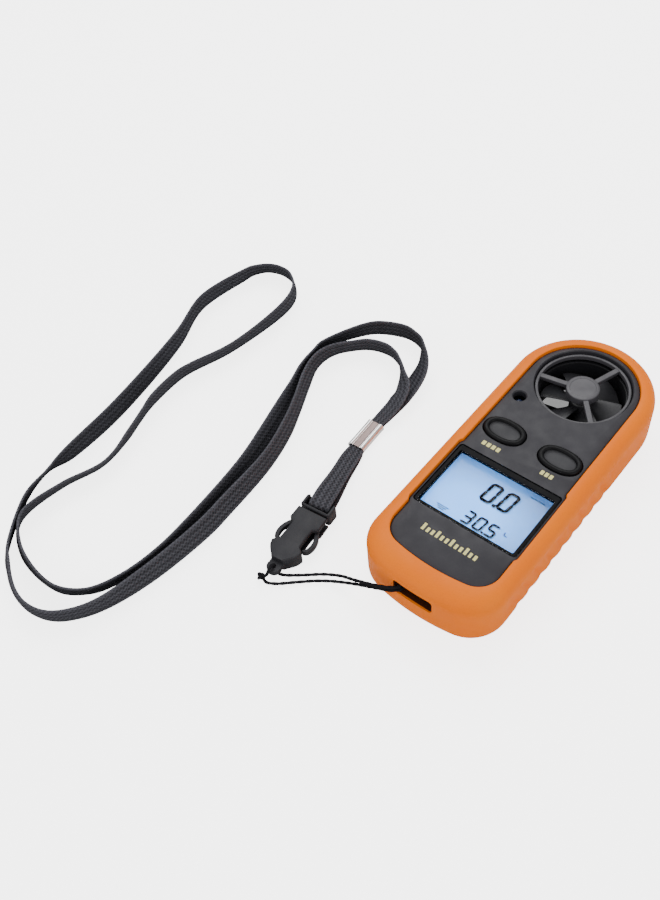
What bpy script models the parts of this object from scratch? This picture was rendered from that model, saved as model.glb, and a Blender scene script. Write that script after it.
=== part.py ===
"""Handheld weather meter: a vane anemometer in a rubber boot, with its neck lanyard.

The meter lies on its back.  +X is its right side, +Y its fan end and +Z its front.
The origin is under the middle of the boot, on the surface that it lies on.
"""
import math

import bmesh
import bpy
from mathutils import Matrix, Vector

MM = 0.001
GAP = 0.3 * MM

# Boot and case
BODY_WIDTH = 42.4 * MM
BODY_LENGTH = 105.0 * MM
BODY_HEIGHT = 17.3 * MM
HEAD_Y = 31.3 * MM            # centre of the round head
FOOT_CORNER = 11.4 * MM
FOOT_SLOPE = 0.18             # radians: the foot's edge is slightly bowed
EDGE_TOP = 3.7 * MM           # rounding of the boot's front edge
EDGE_TOP_FOOT = 6.4 * MM      # the same, measured along the foot
EDGE_REAR = 4.0 * MM
WALL = 2.2 * MM
SKIN = 1.8 * MM               # thickness of the case halves
FACE_Z = 16.5 * MM
SHOULDER_Z = 15.2 * MM        # the ledge of the front case, under the boot's lip
CEILING_Z = 14.3 * MM
SPLIT_Z = 9.05 * MM           # where the case halves meet
REAR_Z = 0.4 * MM
FLOOR_Z = 2.0 * MM
FACE_INSET = (4.8 * MM, 7.9 * MM)    # along the sides, along the foot
LIP_INSET = (4.5 * MM, 7.6 * MM)
REAR_INSET = 5.6 * MM

# Display
WINDOW_Y = -18.0 * MM
WINDOW_SIZE = (32.4 * MM, 23.1 * MM)
VIEW_SIZE = (30.2 * MM, 20.5 * MM)
NOTCH = 0.6 * MM              # how much wider the boot opens beside the window

# Fan
FAN_Y = 32.3 * MM
FAN_OPENING = 14.2 * MM
FAN_BORE = 12.5 * MM
GRILLE_TOP = 15.4 * MM
SPOKE_WIDTH = 1.9 * MM
HUB_RADIUS = 4.9 * MM
SPOKE_ANGLES = (70, 190, 310)
BLADES = 6
BLADE_RADIUS = 11.9 * MM
BLADE_PITCH = math.radians(38)

# Controls and fasteners
BUTTON_X = 9.0 * MM
BUTTON_Y = 4.4 * MM
BUTTON_HALF = (6.4 * MM, 4.2 * MM)
SENSOR_AT = (-12.9 * MM, 18.3 * MM)
SCREWS = [(11.0 * MM, -38.5 * MM), (-11.0 * MM, -38.5 * MM),
          (11.3 * MM, 13.4 * MM), (-11.3 * MM, 13.4 * MM)]
CELL_Y = -17.0 * MM
CELL_RADIUS = 10.0 * MM
CAP_RADIUS = 12.0 * MM
BOARD_Z = (7.6 * MM, 8.9 * MM)
SLOT_Z = 11.2 * MM
SLOT_SIZE = (12.4 * MM, 5.2 * MM)
PIN_Y = -46.8 * MM

# Buckle, crimp and strap
BUCKLE_AT = (-41.3 * MM, -43.6 * MM, 0.2 * MM)
BUCKLE_TURN = math.radians(-83.8)    # the socket's tip points down and slightly right
BUCKLE_THICK = 5.0 * MM
PLATE = 1.3 * MM
TAIL_FROM = (-41.7 * MM, -40.0 * MM)
CRIMP_AT = (-48.1 * MM, -10.8 * MM)
CRIMP_TURN = math.radians(93.4)
CRIMP_SIZE = (10.9 * MM, 5.9 * MM, 3.0 * MM)
CREASE = 1.35 * MM            # each crease's distance from the crimp's middle
STRAP_WIDTH = 8.0 * MM
STRAP_THICK = 1.1 * MM
CORD_RADIUS = 0.5 * MM
KNOT_RADIUS = 1.0 * MM
KNOT_AT = (-40.8 * MM, -67.6 * MM, 1.6 * MM)
REST_LIFT = 0.1 * MM
GATHER = 0.58                 # how narrow the tape is drawn together in the crimp
GATHER_HOLD = 5 * MM
GATHER_RUN = 10 * MM

# Neck strap: x and y in mm, the lean of its width above the surface in degrees, and in mm how much
# higher than the surface it lies.  It leaves the crimp, runs once round the neck loop and comes back.
STRAP_ROUTE = [
    (-48.2, -8.8, 180, 0.7), (-48.4, -5.2, 179, 0.65), (-48.4, 0.6, 168, 0.4), (-47.8, 5.7, 153, 0.2),
    (-48.2, 11.5, 149, 0.1), (-49.3, 17.2, 143, 0), (-53.4, 25.7, 101, 0), (-57.9, 29.8, 80, 0),
    (-62.5, 30.6, 79, 0), (-69.1, 28.6, 78, 0), (-74.3, 25.0, 76, 0), (-82.6, 9.5, 68, 0),
    (-82.1, 3.8, 73, 0), (-80.3, -3.4, 87, 0), (-77.5, -10.4, 99, 0), (-74.2, -21.3, 112, 0),
    (-70.0, -39.0, 105, 0), (-68.8, -49.2, 96, 0), (-67.8, -69.2, 85, 0), (-68.2, -80.0, 77, 0),
    (-70.1, -90.2, 71, 0), (-73.2, -98.2, 69, 0), (-76.0, -101.7, 69, 0), (-83.5, -105.8, 79, 0),
    (-102.0, -103.0, 103, 0), (-110.5, -95.5, 112, 0), (-109.5, -80.5, 120, 0),
    (-105.5, -68.0, 122, 0), (-107.4, -55.0, 110, 0), (-109.7, -47.3, 109, 0), (-111.5, -40.8, 106, 0),
    (-112.3, -29.1, 107, 0), (-111.4, -23.1, 111, 0), (-106.8, -9.0, 113, 0), (-104.5, 14.0, 101, 0),
    (-106.1, 22.7, 92, 0), (-110.9, 28.1, 81, 0), (-115.3, 29.8, 72, 0), (-120.0, 29.6, 66, 0),
    (-123.6, 27.9, 63, 0), (-125.9, 25.1, 65, 0), (-127.2, 21.0, 72, 0), (-130.0, 2.0, 80, 0),
    (-124.0, -16.5, 88, 0), (-118.0, -50.0, 92, 0), (-117.0, -69.0, 84, 0), (-117.5, -80.5, 56, 0),
    (-114.0, -92.0, 69, 0), (-104.1, -106.3, 70, 0), (-99.8, -109.3, 71, 0), (-95.2, -112.0, 76, 0),
    (-89.4, -114.1, 86, 0), (-83.9, -114.5, 94, 0), (-79.0, -113.3, 98, 0), (-75.2, -110.8, 99, 0),
    (-70.1, -104.0, 97, 0), (-65.5, -87.7, 84, 0), (-63.4, -65.8, 78, 0), (-63.8, -57.0, 77, 0),
    (-65.2, -37.2, 82, 0), (-68.5, -24.2, 80, 0), (-72.2, -14.9, 82, 0), (-76.6, -5.4, 81, 0),
    (-79.3, 3.7, 94, 0), (-77.6, 11.0, 107, 0), (-74.6, 14.8, 110, 0), (-70.0, 18.9, 108, 0),
    (-63.5, 20.6, 105, 0), (-58.6, 19.3, 101, 0), (-56.0, 17.4, 96, 0), (-51.7, 12.2, 72, 0.8),
    (-48.6, 8.0, 46, 1.9), (-47.7, 3.9, 30, 1.9), (-47.9, -0.1, 14, 1.65), (-48.4, -5.0, 3, 1.45),
    (-48.2, -8.8, 0, 1.45)]

# Thin cord, in mm: from the knot to the pin in the foot, round it, and back through the buckle's eye.
CORD_ROUTE = [
    (-38.8, -67.9, 0.9), (-36.6, -66.9, 0.8), (-32.0, -62.9, 0.8),
    (-28.0, -59.4, 0.8), (-24.0, -57.0, 1.4), (-17.5, -55.4, 4.4), (-9.5, -54.1, 8.2),
    (-6.2, -53.3, 9.5), (-4.4, -51.8, 9.7), (-3.7, -49.5, 9.5), (-3.7, -46.8, 9.3),
    (-3.7, -44.8, 11.2), (-3.7, -46.8, 13.1), (-3.8, -49.4, 12.0), (-4.5, -51.9, 11.2),
    (-6.5, -53.5, 10.9), (-9.7, -54.3, 9.6), (-17.3, -54.8, 5.7), (-22.5, -54.7, 2.6),
    (-27.4, -56.3, 0.8), (-33.0, -60.8, 0.75), (-36.4, -63.2, 0.75), (-38.2, -63.7, 0.8),
    (-39.0, -63.6, 1.4), (-39.1, -63.6, 2.7), (-39.1, -63.7, 4.0), (-39.0, -64.5, 4.8),
    (-38.9, -65.8, 4.6), (-38.9, -66.8, 3.5), (-39.4, -67.2, 2.6)]

METER = "weather_meter"
MATERIALS = {
    "boot": ((0.95, 0.27, 0.015), 0.5, 0.0), "case": ((0.045, 0.045, 0.05), 0.5, 0.0),
    "window": ((0.75, 0.85, 0.95), 0.05, 0.0), "display": ((0.45, 0.62, 0.85), 0.25, 0.0),
    "backlight": ((0.85, 0.9, 0.95), 0.4, 0.0), "zebra": ((0.3, 0.1, 0.25), 0.7, 0.0),
    "board": ((0.02, 0.18, 0.07), 0.45, 0.0), "button": ((0.02, 0.02, 0.022), 0.6, 0.0),
    "steel": ((0.6, 0.6, 0.62), 0.3, 1.0), "gold": ((0.8, 0.6, 0.25), 0.3, 1.0),
    "blade": ((0.02, 0.02, 0.02), 0.4, 0.0), "magnet": ((0.2, 0.2, 0.22), 0.35, 0.9),
    "bead": ((0.02, 0.03, 0.08), 0.3, 0.0), "seal": ((0.03, 0.03, 0.03), 0.8, 0.0),
    "buckle": ((0.05, 0.05, 0.055), 0.45, 0.0), "tape": ((0.03, 0.03, 0.035), 0.9, 0.0)}


# ---------------------------------------------------------------- scene and objects

def clear_scene():
    for obj in list(bpy.data.objects):
        bpy.data.objects.remove(obj, do_unlink=True)


def make_collection(name):
    group = bpy.data.collections.new(name)
    bpy.context.scene.collection.children.link(group)
    return group


def make_material(name):
    colour, roughness, metallic = MATERIALS[name]
    made = bpy.data.materials.new(name)
    made.use_nodes = True
    shader = made.node_tree.nodes["Principled BSDF"]
    shader.inputs["Base Color"].default_value = (*colour, 1.0)
    shader.inputs["Roughness"].default_value = roughness
    shader.inputs["Metallic"].default_value = metallic
    return made


def add_object(name, data, finish, at=(0, 0, 0)):
    obj = bpy.data.objects.new(name, data)
    obj.location = at
    PARTS.objects.link(obj)
    data.materials.append(FINISH[finish])
    return obj


def from_bmesh(name, bm, finish, at=(0, 0, 0), smooth=True):
    data = bpy.data.meshes.new(name)
    bmesh.ops.recalc_face_normals(bm, faces=bm.faces)
    bm.to_mesh(data)
    bm.free()
    if smooth:
        data.shade_smooth()
        data.set_sharp_from_angle(angle=math.radians(35))
    return add_object(name, data, finish, at)


def make_guide(obj):
    """Hide a cutting or joining tool and keep it apart from the parts."""
    PARTS.objects.unlink(obj)
    TOOLS.objects.link(obj)
    obj.hide_render = True
    obj.display_type = "WIRE"
    return obj


def combine(obj, tool, how="DIFFERENCE"):
    step = obj.modifiers.new(tool.name, "BOOLEAN")
    step.operation = how
    step.solver = "EXACT"
    step.object = tool


def box(name, size, at, finish="case", turn=None):
    bm = bmesh.new()
    bmesh.ops.create_cube(bm, size=1.0)
    bmesh.ops.scale(bm, vec=Vector(size), verts=bm.verts)
    if turn:
        bmesh.ops.transform(bm, matrix=turn, verts=bm.verts)
    return from_bmesh(name, bm, finish, at, smooth=False)


def rod(name, radius, length, at, finish="case", axis="Z", sides=32, top_radius=None):
    bm = bmesh.new()
    bmesh.ops.create_cone(bm, cap_ends=True, segments=sides, radius1=radius,
                          radius2=radius if top_radius is None else top_radius, depth=length)
    if axis == "X":
        bmesh.ops.rotate(bm, matrix=Matrix.Rotation(math.pi / 2, 3, "Y"), verts=bm.verts)
    return from_bmesh(name, bm, finish, at)


def span(name, radius, z0, z1, at, finish="case", sides=32):
    """A round bar that stands from z0 to z1."""
    return rod(name, radius, z1 - z0, (at[0], at[1], (z0 + z1) / 2), finish, sides=sides)


def cut_with(obj, *tools):
    for tool in tools:
        combine(obj, make_guide(tool))


def join_with(obj, *tools):
    for tool in tools:
        combine(obj, make_guide(tool), "UNION")


def plate(name, points, z0, z1, finish, at=(0, 0, 0)):
    """A flat outline given a thickness from z0 to z1."""
    bm = bmesh.new()
    face = bm.faces.new([bm.verts.new((x, y, z0)) for x, y in points])
    made = bmesh.ops.extrude_face_region(bm, geom=[face])
    raised = [v for v in made["geom"] if isinstance(v, bmesh.types.BMVert)]
    bmesh.ops.translate(bm, vec=(0, 0, z1 - z0), verts=raised)
    return from_bmesh(name, bm, finish, at)


def turned(name, profile, finish, at=(0, 0, 0), sides=32):
    """A profile of (radius, height), top to bottom on its outer side, turned about Z."""
    bm = bmesh.new()
    verts = [bm.verts.new((r, 0, z)) for r, z in profile]
    for a, b in zip(verts, verts[1:]):
        bm.edges.new((a, b))
    if profile[0][0] > 0:
        bm.edges.new((verts[-1], verts[0]))
    data = bpy.data.meshes.new(name)
    bm.to_mesh(data)
    bm.free()
    obj = add_object(name, data, finish, at)
    screw = obj.modifiers.new("turn", "SCREW")
    screw.steps = sides
    screw.render_steps = sides
    screw.use_merge_vertices = True
    screw.merge_threshold = 0.00001
    screw.use_smooth_shade = True
    return obj


def loft(name, rings, finish, at=(0, 0, 0), hoop=False):
    """Skin a row of equal rings; a hoop joins the last to the first, otherwise both ends are closed."""
    bm = bmesh.new()
    rows = [[bm.verts.new(p) for p in ring] for ring in rings]
    pairs = list(zip(rows, rows[1:]))
    if hoop:
        pairs.append((rows[-1], rows[0]))
    else:
        bm.faces.new(list(reversed(rows[0])))
        bm.faces.new(rows[-1])
    count = len(rings[0])
    for low, high in pairs:
        for i in range(count):
            j = (i + 1) % count
            bm.faces.new((low[i], low[j], high[j], high[i]))
    return from_bmesh(name, bm, finish, at)


# ---------------------------------------------------------------- outlines

def arc(centre, radius, start, end, count):
    """Points on an arc, angles in radians, both ends included."""
    steps = [start + (end - start) * i / count for i in range(count + 1)]
    return [(centre[0] + radius * math.cos(a), centre[1] + radius * math.sin(a)) for a in steps]


def body_outline(side, foot=None, notch=0.0):
    """The meter's plan, inset from the boot's outside: a round head and a bowed foot."""
    foot = side if foot is None else foot
    half = BODY_WIDTH / 2 - side
    corner = FOOT_CORNER - side
    reach = half - corner * (1 - math.sin(FOOT_SLOPE))
    bow = math.tan(FOOT_SLOPE) / (2 * reach)
    low = foot - BODY_LENGTH / 2
    centre_y = low + bow * reach ** 2 + corner * math.cos(FOOT_SLOPE)
    right = [(reach * i / 3, low + bow * (reach * i / 3) ** 2) for i in range(1, 3)]
    right += arc((half - corner, centre_y), corner, FOOT_SLOPE - math.pi / 2, 0, 5)
    window_low = WINDOW_Y - WINDOW_SIZE[1] / 2
    window_high = WINDOW_Y + WINDOW_SIZE[1] / 2
    right += [(half, window_low - 1.4 * MM), (half + notch, window_low - 0.5 * MM),
              (half + notch, window_high + 0.5 * MM), (half, window_high + 1.4 * MM)]
    right += arc((0, HEAD_Y), half, 0, math.pi / 2, 8)[:-1]
    left = [(-x, y) for x, y in reversed(right)]
    return [(0, low)] + right + [(0, HEAD_Y + half)] + left


def body_ring(z, side, foot=None, notch=0.0):
    return [(x, y, z) for x, y in body_outline(side, foot, notch)]


def rounded_box(half_x, half_y, corner, centre=(0, 0), count=4):
    points = []
    for k, (sx, sy) in enumerate([(1, 1), (-1, 1), (-1, -1), (1, -1)]):
        middle = (centre[0] + sx * (half_x - corner), centre[1] + sy * (half_y - corner))
        points += arc(middle, corner, k * math.pi / 2, (k + 1) * math.pi / 2, count)
    return points


def oval(half_x, half_y, count=20, power=2.3):
    """A slightly squared ellipse."""
    points = []
    for i in range(count):
        a = 2 * math.pi * i / count
        c, s = math.cos(a), math.sin(a)
        points.append((half_x * math.copysign(abs(c) ** (2 / power), c),
                       half_y * math.copysign(abs(s) ** (2 / power), s)))
    return points


def smooth_path(points, step):
    """Points every step or so along a centripetal Catmull-Rom curve through the given rows."""
    rows = [Vector(p) for p in points]
    rows = [2 * rows[0] - rows[1]] + rows + [2 * rows[-1] - rows[-2]]
    fine = []
    for i in range(1, len(rows) - 2):
        p0, p1, p2, p3 = rows[i - 1:i + 3]
        t0 = 0.0
        t1 = t0 + (p1 - p0).length ** 0.5
        t2 = t1 + (p2 - p1).length ** 0.5
        t3 = t2 + (p3 - p2).length ** 0.5
        for k in range(16):
            t = t1 + (t2 - t1) * k / 16
            a1 = p0.lerp(p1, (t - t0) / (t1 - t0))
            a2 = p1.lerp(p2, (t - t1) / (t2 - t1))
            a3 = p2.lerp(p3, (t - t2) / (t3 - t2))
            b1 = a1.lerp(a2, (t - t0) / (t2 - t0))
            b2 = a2.lerp(a3, (t - t1) / (t3 - t1))
            fine.append(b1.lerp(b2, (t - t1) / (t2 - t1)))
    fine.append(rows[-2])
    total = sum((b - a).length for a, b in zip(fine, fine[1:]))
    count = max(2, round(total / step))
    even = [fine[0]]
    walked = 0.0
    for a, b in zip(fine, fine[1:]):
        piece = (b - a).length
        while len(even) < count and walked + piece >= total * len(even) / count:
            even.append(a.lerp(b, (total * len(even) / count - walked) / piece))
        walked += piece
    return even + [fine[-1]]


# ---------------------------------------------------------------- boot and case

def make_boot():
    """Rubber sleeve: a ring-shaped wall with a lip over the front face and one behind."""
    rows = []
    for i in range(4):
        a = math.pi / 2 * i / 3
        inset = EDGE_REAR * (1 - math.sin(a))
        rows.append((EDGE_REAR * (1 - math.cos(a)), inset, inset))
    for i in range(5):
        a = math.pi / 2 * i / 4
        rows.append((BODY_HEIGHT - EDGE_TOP * (1 - math.sin(a)),
                     EDGE_TOP * (1 - math.cos(a)), EDGE_TOP_FOOT * (1 - math.cos(a))))
    rings = [body_ring(z, side, foot) for z, side, foot in rows]
    lip = SHOULDER_Z + GAP
    rings.append(body_ring(BODY_HEIGHT - 0.3 * MM, *LIP_INSET, NOTCH))
    rings.append(body_ring(lip, *LIP_INSET, NOTCH))
    rings.append(body_ring(lip, WALL))
    rings.append(body_ring(FLOOR_Z, WALL))
    rings.append(body_ring(FLOOR_Z, REAR_INSET))
    rings.append(body_ring(0, REAR_INSET))
    boot = loft("rubber_boot", rings, "boot", hoop=True)
    cut_with(boot, slot_tool("boot_slot"))


def slot_tool(name):
    """The lanyard slot through the foot."""
    points = rounded_box(SLOT_SIZE[0] / 2, SLOT_SIZE[1] / 2, 1.4 * MM)
    tool = plate(name, points, -3.6 * MM, 3.6 * MM, "case")
    tool.rotation_euler = (math.pi / 2, 0, 0)
    tool.location = (0, -BODY_LENGTH / 2 + 2.8 * MM, SLOT_Z)
    return tool


def make_front_case():
    inset = WALL + GAP
    rings = [body_ring(SPLIT_Z + GAP / 2, inset), body_ring(SHOULDER_Z, inset),
             body_ring(SHOULDER_Z, *FACE_INSET, NOTCH), body_ring(FACE_Z, *FACE_INSET, NOTCH)]
    case = loft("front_case", rings, "case")
    cut_with(case, loft("front_hollow", [body_ring(SPLIT_Z - 1 * MM, inset + SKIN),
                                         body_ring(CEILING_Z, inset + SKIN)], "case"))
    for k, (x, y) in enumerate(SCREWS):
        join_with(case, span(f"boss_{k}", 2.5 * MM, FLOOR_Z + GAP, CEILING_Z + 0.6 * MM, (x, y)))
        cut_with(case, span(f"boss_bore_{k}", 1.3 * MM, 0, 12.0 * MM, (x, y), sides=16))
    for side in (-1, 1):
        low, high = SPLIT_Z + GAP, CEILING_Z + 0.6 * MM
        lug_at = (side * 7.8 * MM, PIN_Y, (low + high) / 2)
        join_with(case, box(f"lug_{side}", (2.4 * MM, 4.4 * MM, high - low), lug_at))
    cut_with(case, rod("pin_bore", 1.1 * MM, 22 * MM, (0, PIN_Y, SLOT_Z), axis="X", sides=20))
    cut_with(case, slot_tool("case_slot"))
    cut_with(case, *face_openings())


def face_openings():
    lens = rounded_box(WINDOW_SIZE[0] / 2 + GAP, WINDOW_SIZE[1] / 2 + GAP, 1.0 * MM, (0, WINDOW_Y))
    view = rounded_box(VIEW_SIZE[0] / 2, VIEW_SIZE[1] / 2, 0.5 * MM, (0, WINDOW_Y))
    tools = [plate("lens_recess", lens, FACE_Z - 1.2 * MM, FACE_Z + 2 * MM, "case"),
             plate("view_opening", view, 12 * MM, 20 * MM, "case"),
             span("fan_opening", FAN_OPENING, 12 * MM, 20 * MM, (0, FAN_Y), sides=36),
             span("air_hole", 2.2 * MM, 12 * MM, 20 * MM, SENSOR_AT, sides=20)]
    for side in (-1, 1):
        hole = oval(BUTTON_HALF[0] + GAP, BUTTON_HALF[1] + GAP)
        tools.append(plate(f"button_hole_{side}", hole, 12 * MM, 20 * MM, "case",
                           (side * BUTTON_X, BUTTON_Y, 0)))
    return tools


def make_rear_case():
    inset = WALL + GAP
    rings = [body_ring(REAR_Z, REAR_INSET + GAP), body_ring(FLOOR_Z + GAP, REAR_INSET + GAP),
             body_ring(FLOOR_Z + GAP, inset), body_ring(SPLIT_Z - GAP / 2, inset)]
    case = loft("rear_case", rings, "case")
    hollow = [body_ring(FLOOR_Z, REAR_INSET + SKIN), body_ring(FLOOR_Z + GAP + SKIN, inset + SKIN),
              body_ring(SPLIT_Z + 1 * MM, inset + SKIN)]
    cut_with(case, loft("rear_hollow", hollow, "case"))
    join_with(case, span("well", CAP_RADIUS + 1.3 * MM, REAR_Z, 6.0 * MM, (0, CELL_Y), sides=36))
    cut_with(case, span("cap_seat", CAP_RADIUS + GAP, -1 * MM, 2.6 * MM, (0, CELL_Y), sides=36),
             span("cell_mouth", CELL_RADIUS + 0.4 * MM, 0, 4 * MM, (0, CELL_Y), sides=36),
             span("cell_room", CELL_RADIUS + 1.3 * MM, 3.1 * MM, 8 * MM, (0, CELL_Y), sides=36),
             span("rear_opening", 13.7 * MM, -1 * MM, 5 * MM, (0, FAN_Y), sides=36),
             slot_tool("rear_slot"))
    for k, (x, y) in enumerate(SCREWS):
        cut_with(case, span(f"screw_way_{k}", 1.3 * MM, -1 * MM, 5 * MM, (x, y), sides=16),
                 span(f"screw_seat_{k}", 2.4 * MM, -1 * MM, 1.4 * MM, (x, y), sides=16))


# ---------------------------------------------------------------- display, board and power

def make_display():
    lens = rounded_box(WINDOW_SIZE[0] / 2, WINDOW_SIZE[1] / 2, 0.8 * MM, (0, WINDOW_Y))
    plate("lcd_window", lens, FACE_Z - 0.9 * MM, FACE_Z - 0.1 * MM, "window")
    glass_size = (31.6 * MM, 25.0 * MM, 1.8 * MM)
    box("lcd_glass", glass_size, (0, WINDOW_Y - 0.6 * MM, 13.1 * MM), "display")
    lamp_size = (31.6 * MM, 21.6 * MM, 1.4 * MM)
    box("lcd_backlight", lamp_size, (0, WINDOW_Y + 0.4 * MM, 11.1 * MM), "backlight")
    strip_size = (28.0 * MM, 1.8 * MM, 2.6 * MM)
    box("elastomer_strip", strip_size, (0, WINDOW_Y - 12.1 * MM, 10.6 * MM), "zebra")


def make_board():
    middle = -10.6 * MM
    points = rounded_box(15.8 * MM, 31.2 * MM, 3.0 * MM, (0, middle))
    board = plate("circuit_board", points, *BOARD_Z, "board")
    cut_with(board, span("board_fan", 14.6 * MM, 5 * MM, 12 * MM, (0, FAN_Y), sides=36))
    for k, (x, y) in enumerate(SCREWS):
        cut_with(board, span(f"board_boss_{k}", 2.9 * MM, 5 * MM, 12 * MM, (x, y), sides=16))


def make_power():
    at = (0, CELL_Y, 0)
    turned("coin_cell", [(0, 5.9 * MM), (8.8 * MM, 5.9 * MM), (9.0 * MM, 5.6 * MM), (9.7 * MM, 5.6 * MM),
                         (CELL_RADIUS, 5.3 * MM), (CELL_RADIUS, 3.0 * MM), (9.7 * MM, 2.7 * MM),
                         (0, 2.7 * MM)], "steel", at, 30)
    clip_size = (0.4 * MM, 5.0 * MM, 4.0 * MM)
    box("contact_positive", clip_size, (10.55 * MM, CELL_Y, 5.3 * MM), "gold")
    leaf = [(x * MM, z * MM) for x, z in ((-5.0, 0), (-2.5, 0.55), (0, 0.7), (2.5, 0.55), (5.0, 0))]
    strip("contact_negative", leaf, 0.15 * MM, 1.5 * MM, "gold", (0, CELL_Y, 6.35 * MM))
    groove = 10.9 * MM
    rim = [(0, 2.25 * MM), (CAP_RADIUS, 2.25 * MM), (CAP_RADIUS, 1.95 * MM), (groove, 1.95 * MM),
           (groove, 0.75 * MM), (CAP_RADIUS, 0.75 * MM), (CAP_RADIUS, 0.55 * MM),
           (11.8 * MM, REAR_Z), (0, REAR_Z)]
    cap = turned("battery_cap", rim, "case", at, 36)
    cut_with(cap, box("coin_slot", (14 * MM, 1.8 * MM, 1.8 * MM), (0, CELL_Y, REAR_Z)))
    ring = [(11.5 * MM + 0.28 * MM * math.cos(a), 1.35 * MM + 0.28 * MM * math.sin(a))
            for a in [math.pi / 2 - 2 * math.pi * i / 5 for i in range(5)]]
    turned("cap_seal", ring, "seal", at, 24)


def strip(name, points, half_thick, half_width, finish, at):
    """A thin strip bent in the XZ plane, its width along Y."""
    data = bpy.data.curves.new(name, "CURVE")
    data.dimensions = "3D"
    data.use_fill_caps = True
    data.bevel_depth = half_thick
    data.bevel_resolution = 1
    data.extrude = half_width
    line = data.splines.new("POLY")
    line.points.add(len(points) - 1)
    for point, (x, z) in zip(line.points, points):
        point.co = (x, z, 0, 1)
    obj = add_object(name, data, finish, at)
    obj.rotation_euler = (math.pi / 2, 0, 0)
    return obj


# ---------------------------------------------------------------- buttons and sensor

def make_button(name, x):
    """Rubber key: a raised oval rim round a dished middle, a flange behind the face and a stem."""
    hx, hy = BUTTON_HALF
    levels = [(2.0, 2.0, 10.9, 0), (2.0, 2.0, 13.2, 0), (hx / MM + 0.7, hy / MM + 0.7, 13.2, 1),
              (hx / MM + 0.7, hy / MM + 0.7, 14.0, 1), (hx / MM, hy / MM, 14.0, 1),
              (hx / MM, hy / MM, 16.8, 1), (hx / MM - 0.35, hy / MM - 0.35, 17.2, 1),
              (hx / MM - 0.9, hy / MM - 0.9, 17.3, 1), (hx / MM - 1.5, hy / MM - 1.4, 17.0, 1),
              (hx / MM - 1.9, hy / MM - 1.7, 16.6, 1), (2.6, 1.4, 16.45, 1)]
    rings = [[(px, py, z * MM) for px, py in oval(a * MM, b * MM, power=2.3 if flat else 2.0)]
             for a, b, z, flat in levels]
    loft(name, rings, "button", (x, BUTTON_Y, 0))
    dome = [(0, 9.7 * MM), (1.2 * MM, 9.62 * MM), (2.2 * MM, 9.4 * MM), (2.8 * MM, 9.2 * MM),
            (0, 9.2 * MM)]
    turned(name.replace("button", "switch_dome"), dome, "steel", (x, BUTTON_Y, 0), 20)


def make_sensors():
    bead = [(0, 14.4 * MM), (0.7 * MM, 14.2 * MM), (1.25 * MM, 13.6 * MM), (1.25 * MM, 12.2 * MM),
            (0.7 * MM, 11.4 * MM), (0.7 * MM, 9.2 * MM), (0, 9.2 * MM)]
    turned("temperature_sensor", bead, "bead", (*SENSOR_AT, 0), 20)
    box("hall_sensor", (4.0 * MM, 1.5 * MM, 3.0 * MM), (0, 16.4 * MM, 10.7 * MM), "blade")


# ---------------------------------------------------------------- fan

def make_grille(name, outer, low, high, hub_low, hub_high, socket_low, socket_high):
    """A ring, three spokes and a hub with a pocket for the bearing."""
    at = (0, FAN_Y)
    ring = span(name, outer, low, high, at, sides=36)
    cut_with(ring, span(name + "_bore", FAN_BORE, low - 1 * MM, high + 1 * MM, at, sides=36))
    middle = (low + high) / 2
    for angle in SPOKE_ANGLES:
        a = math.radians(angle)
        reach = FAN_BORE + 0.5 * MM
        centre = (reach / 2 * math.cos(a), FAN_Y + reach / 2 * math.sin(a), middle)
        size = (reach, SPOKE_WIDTH, high - low - 0.2 * MM)
        join_with(ring, box(f"{name}_spoke_{angle}", size, centre, turn=Matrix.Rotation(a, 4, "Z")))
    join_with(ring, span(name + "_hub", HUB_RADIUS, hub_low, hub_high, at, sides=36))
    cut_with(ring, span(name + "_pocket", 1.9 * MM, socket_low, socket_high, at, sides=24))


def make_bearing(name, z0, z1):
    inner = 1.05 * MM
    outer = 1.6 * MM
    turned(name, [(outer, z1), (outer, z0), (inner, z0), (inner, z1)], "gold", (0, FAN_Y, 0), 20)


def make_fan():
    make_grille("front_grille", FAN_OPENING - GAP, 13.8 * MM, GRILLE_TOP, 13.1 * MM, 15.7 * MM,
                12 * MM, 14.6 * MM)
    make_grille("rear_grille", 13.4 * MM, 0.9 * MM, 2.5 * MM, 1.0 * MM, 3.2 * MM,
                1.6 * MM, 5 * MM)
    make_bearing("front_bearing", 13.2 * MM, 14.3 * MM)
    make_bearing("rear_bearing", 1.9 * MM, 3.0 * MM)
    turned("duct_sleeve", [(FAN_BORE + 1.1 * MM, 13.0 * MM), (FAN_BORE + 1.1 * MM, 2.8 * MM),
                           (FAN_BORE + 0.1 * MM, 2.8 * MM), (FAN_BORE + 0.1 * MM, 13.0 * MM)],
           "case", (0, FAN_Y, 0), 36)
    span("impeller_shaft", 0.75 * MM, 2.2 * MM, 14.0 * MM, (0, FAN_Y), "steel", sides=16)
    turned("rotor_magnet", [(2.8 * MM, 12.6 * MM), (2.8 * MM, 11.4 * MM), (1.05 * MM, 11.4 * MM),
                            (1.05 * MM, 12.6 * MM)], "magnet", (0, FAN_Y, 0), 20)
    make_impeller()


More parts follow.
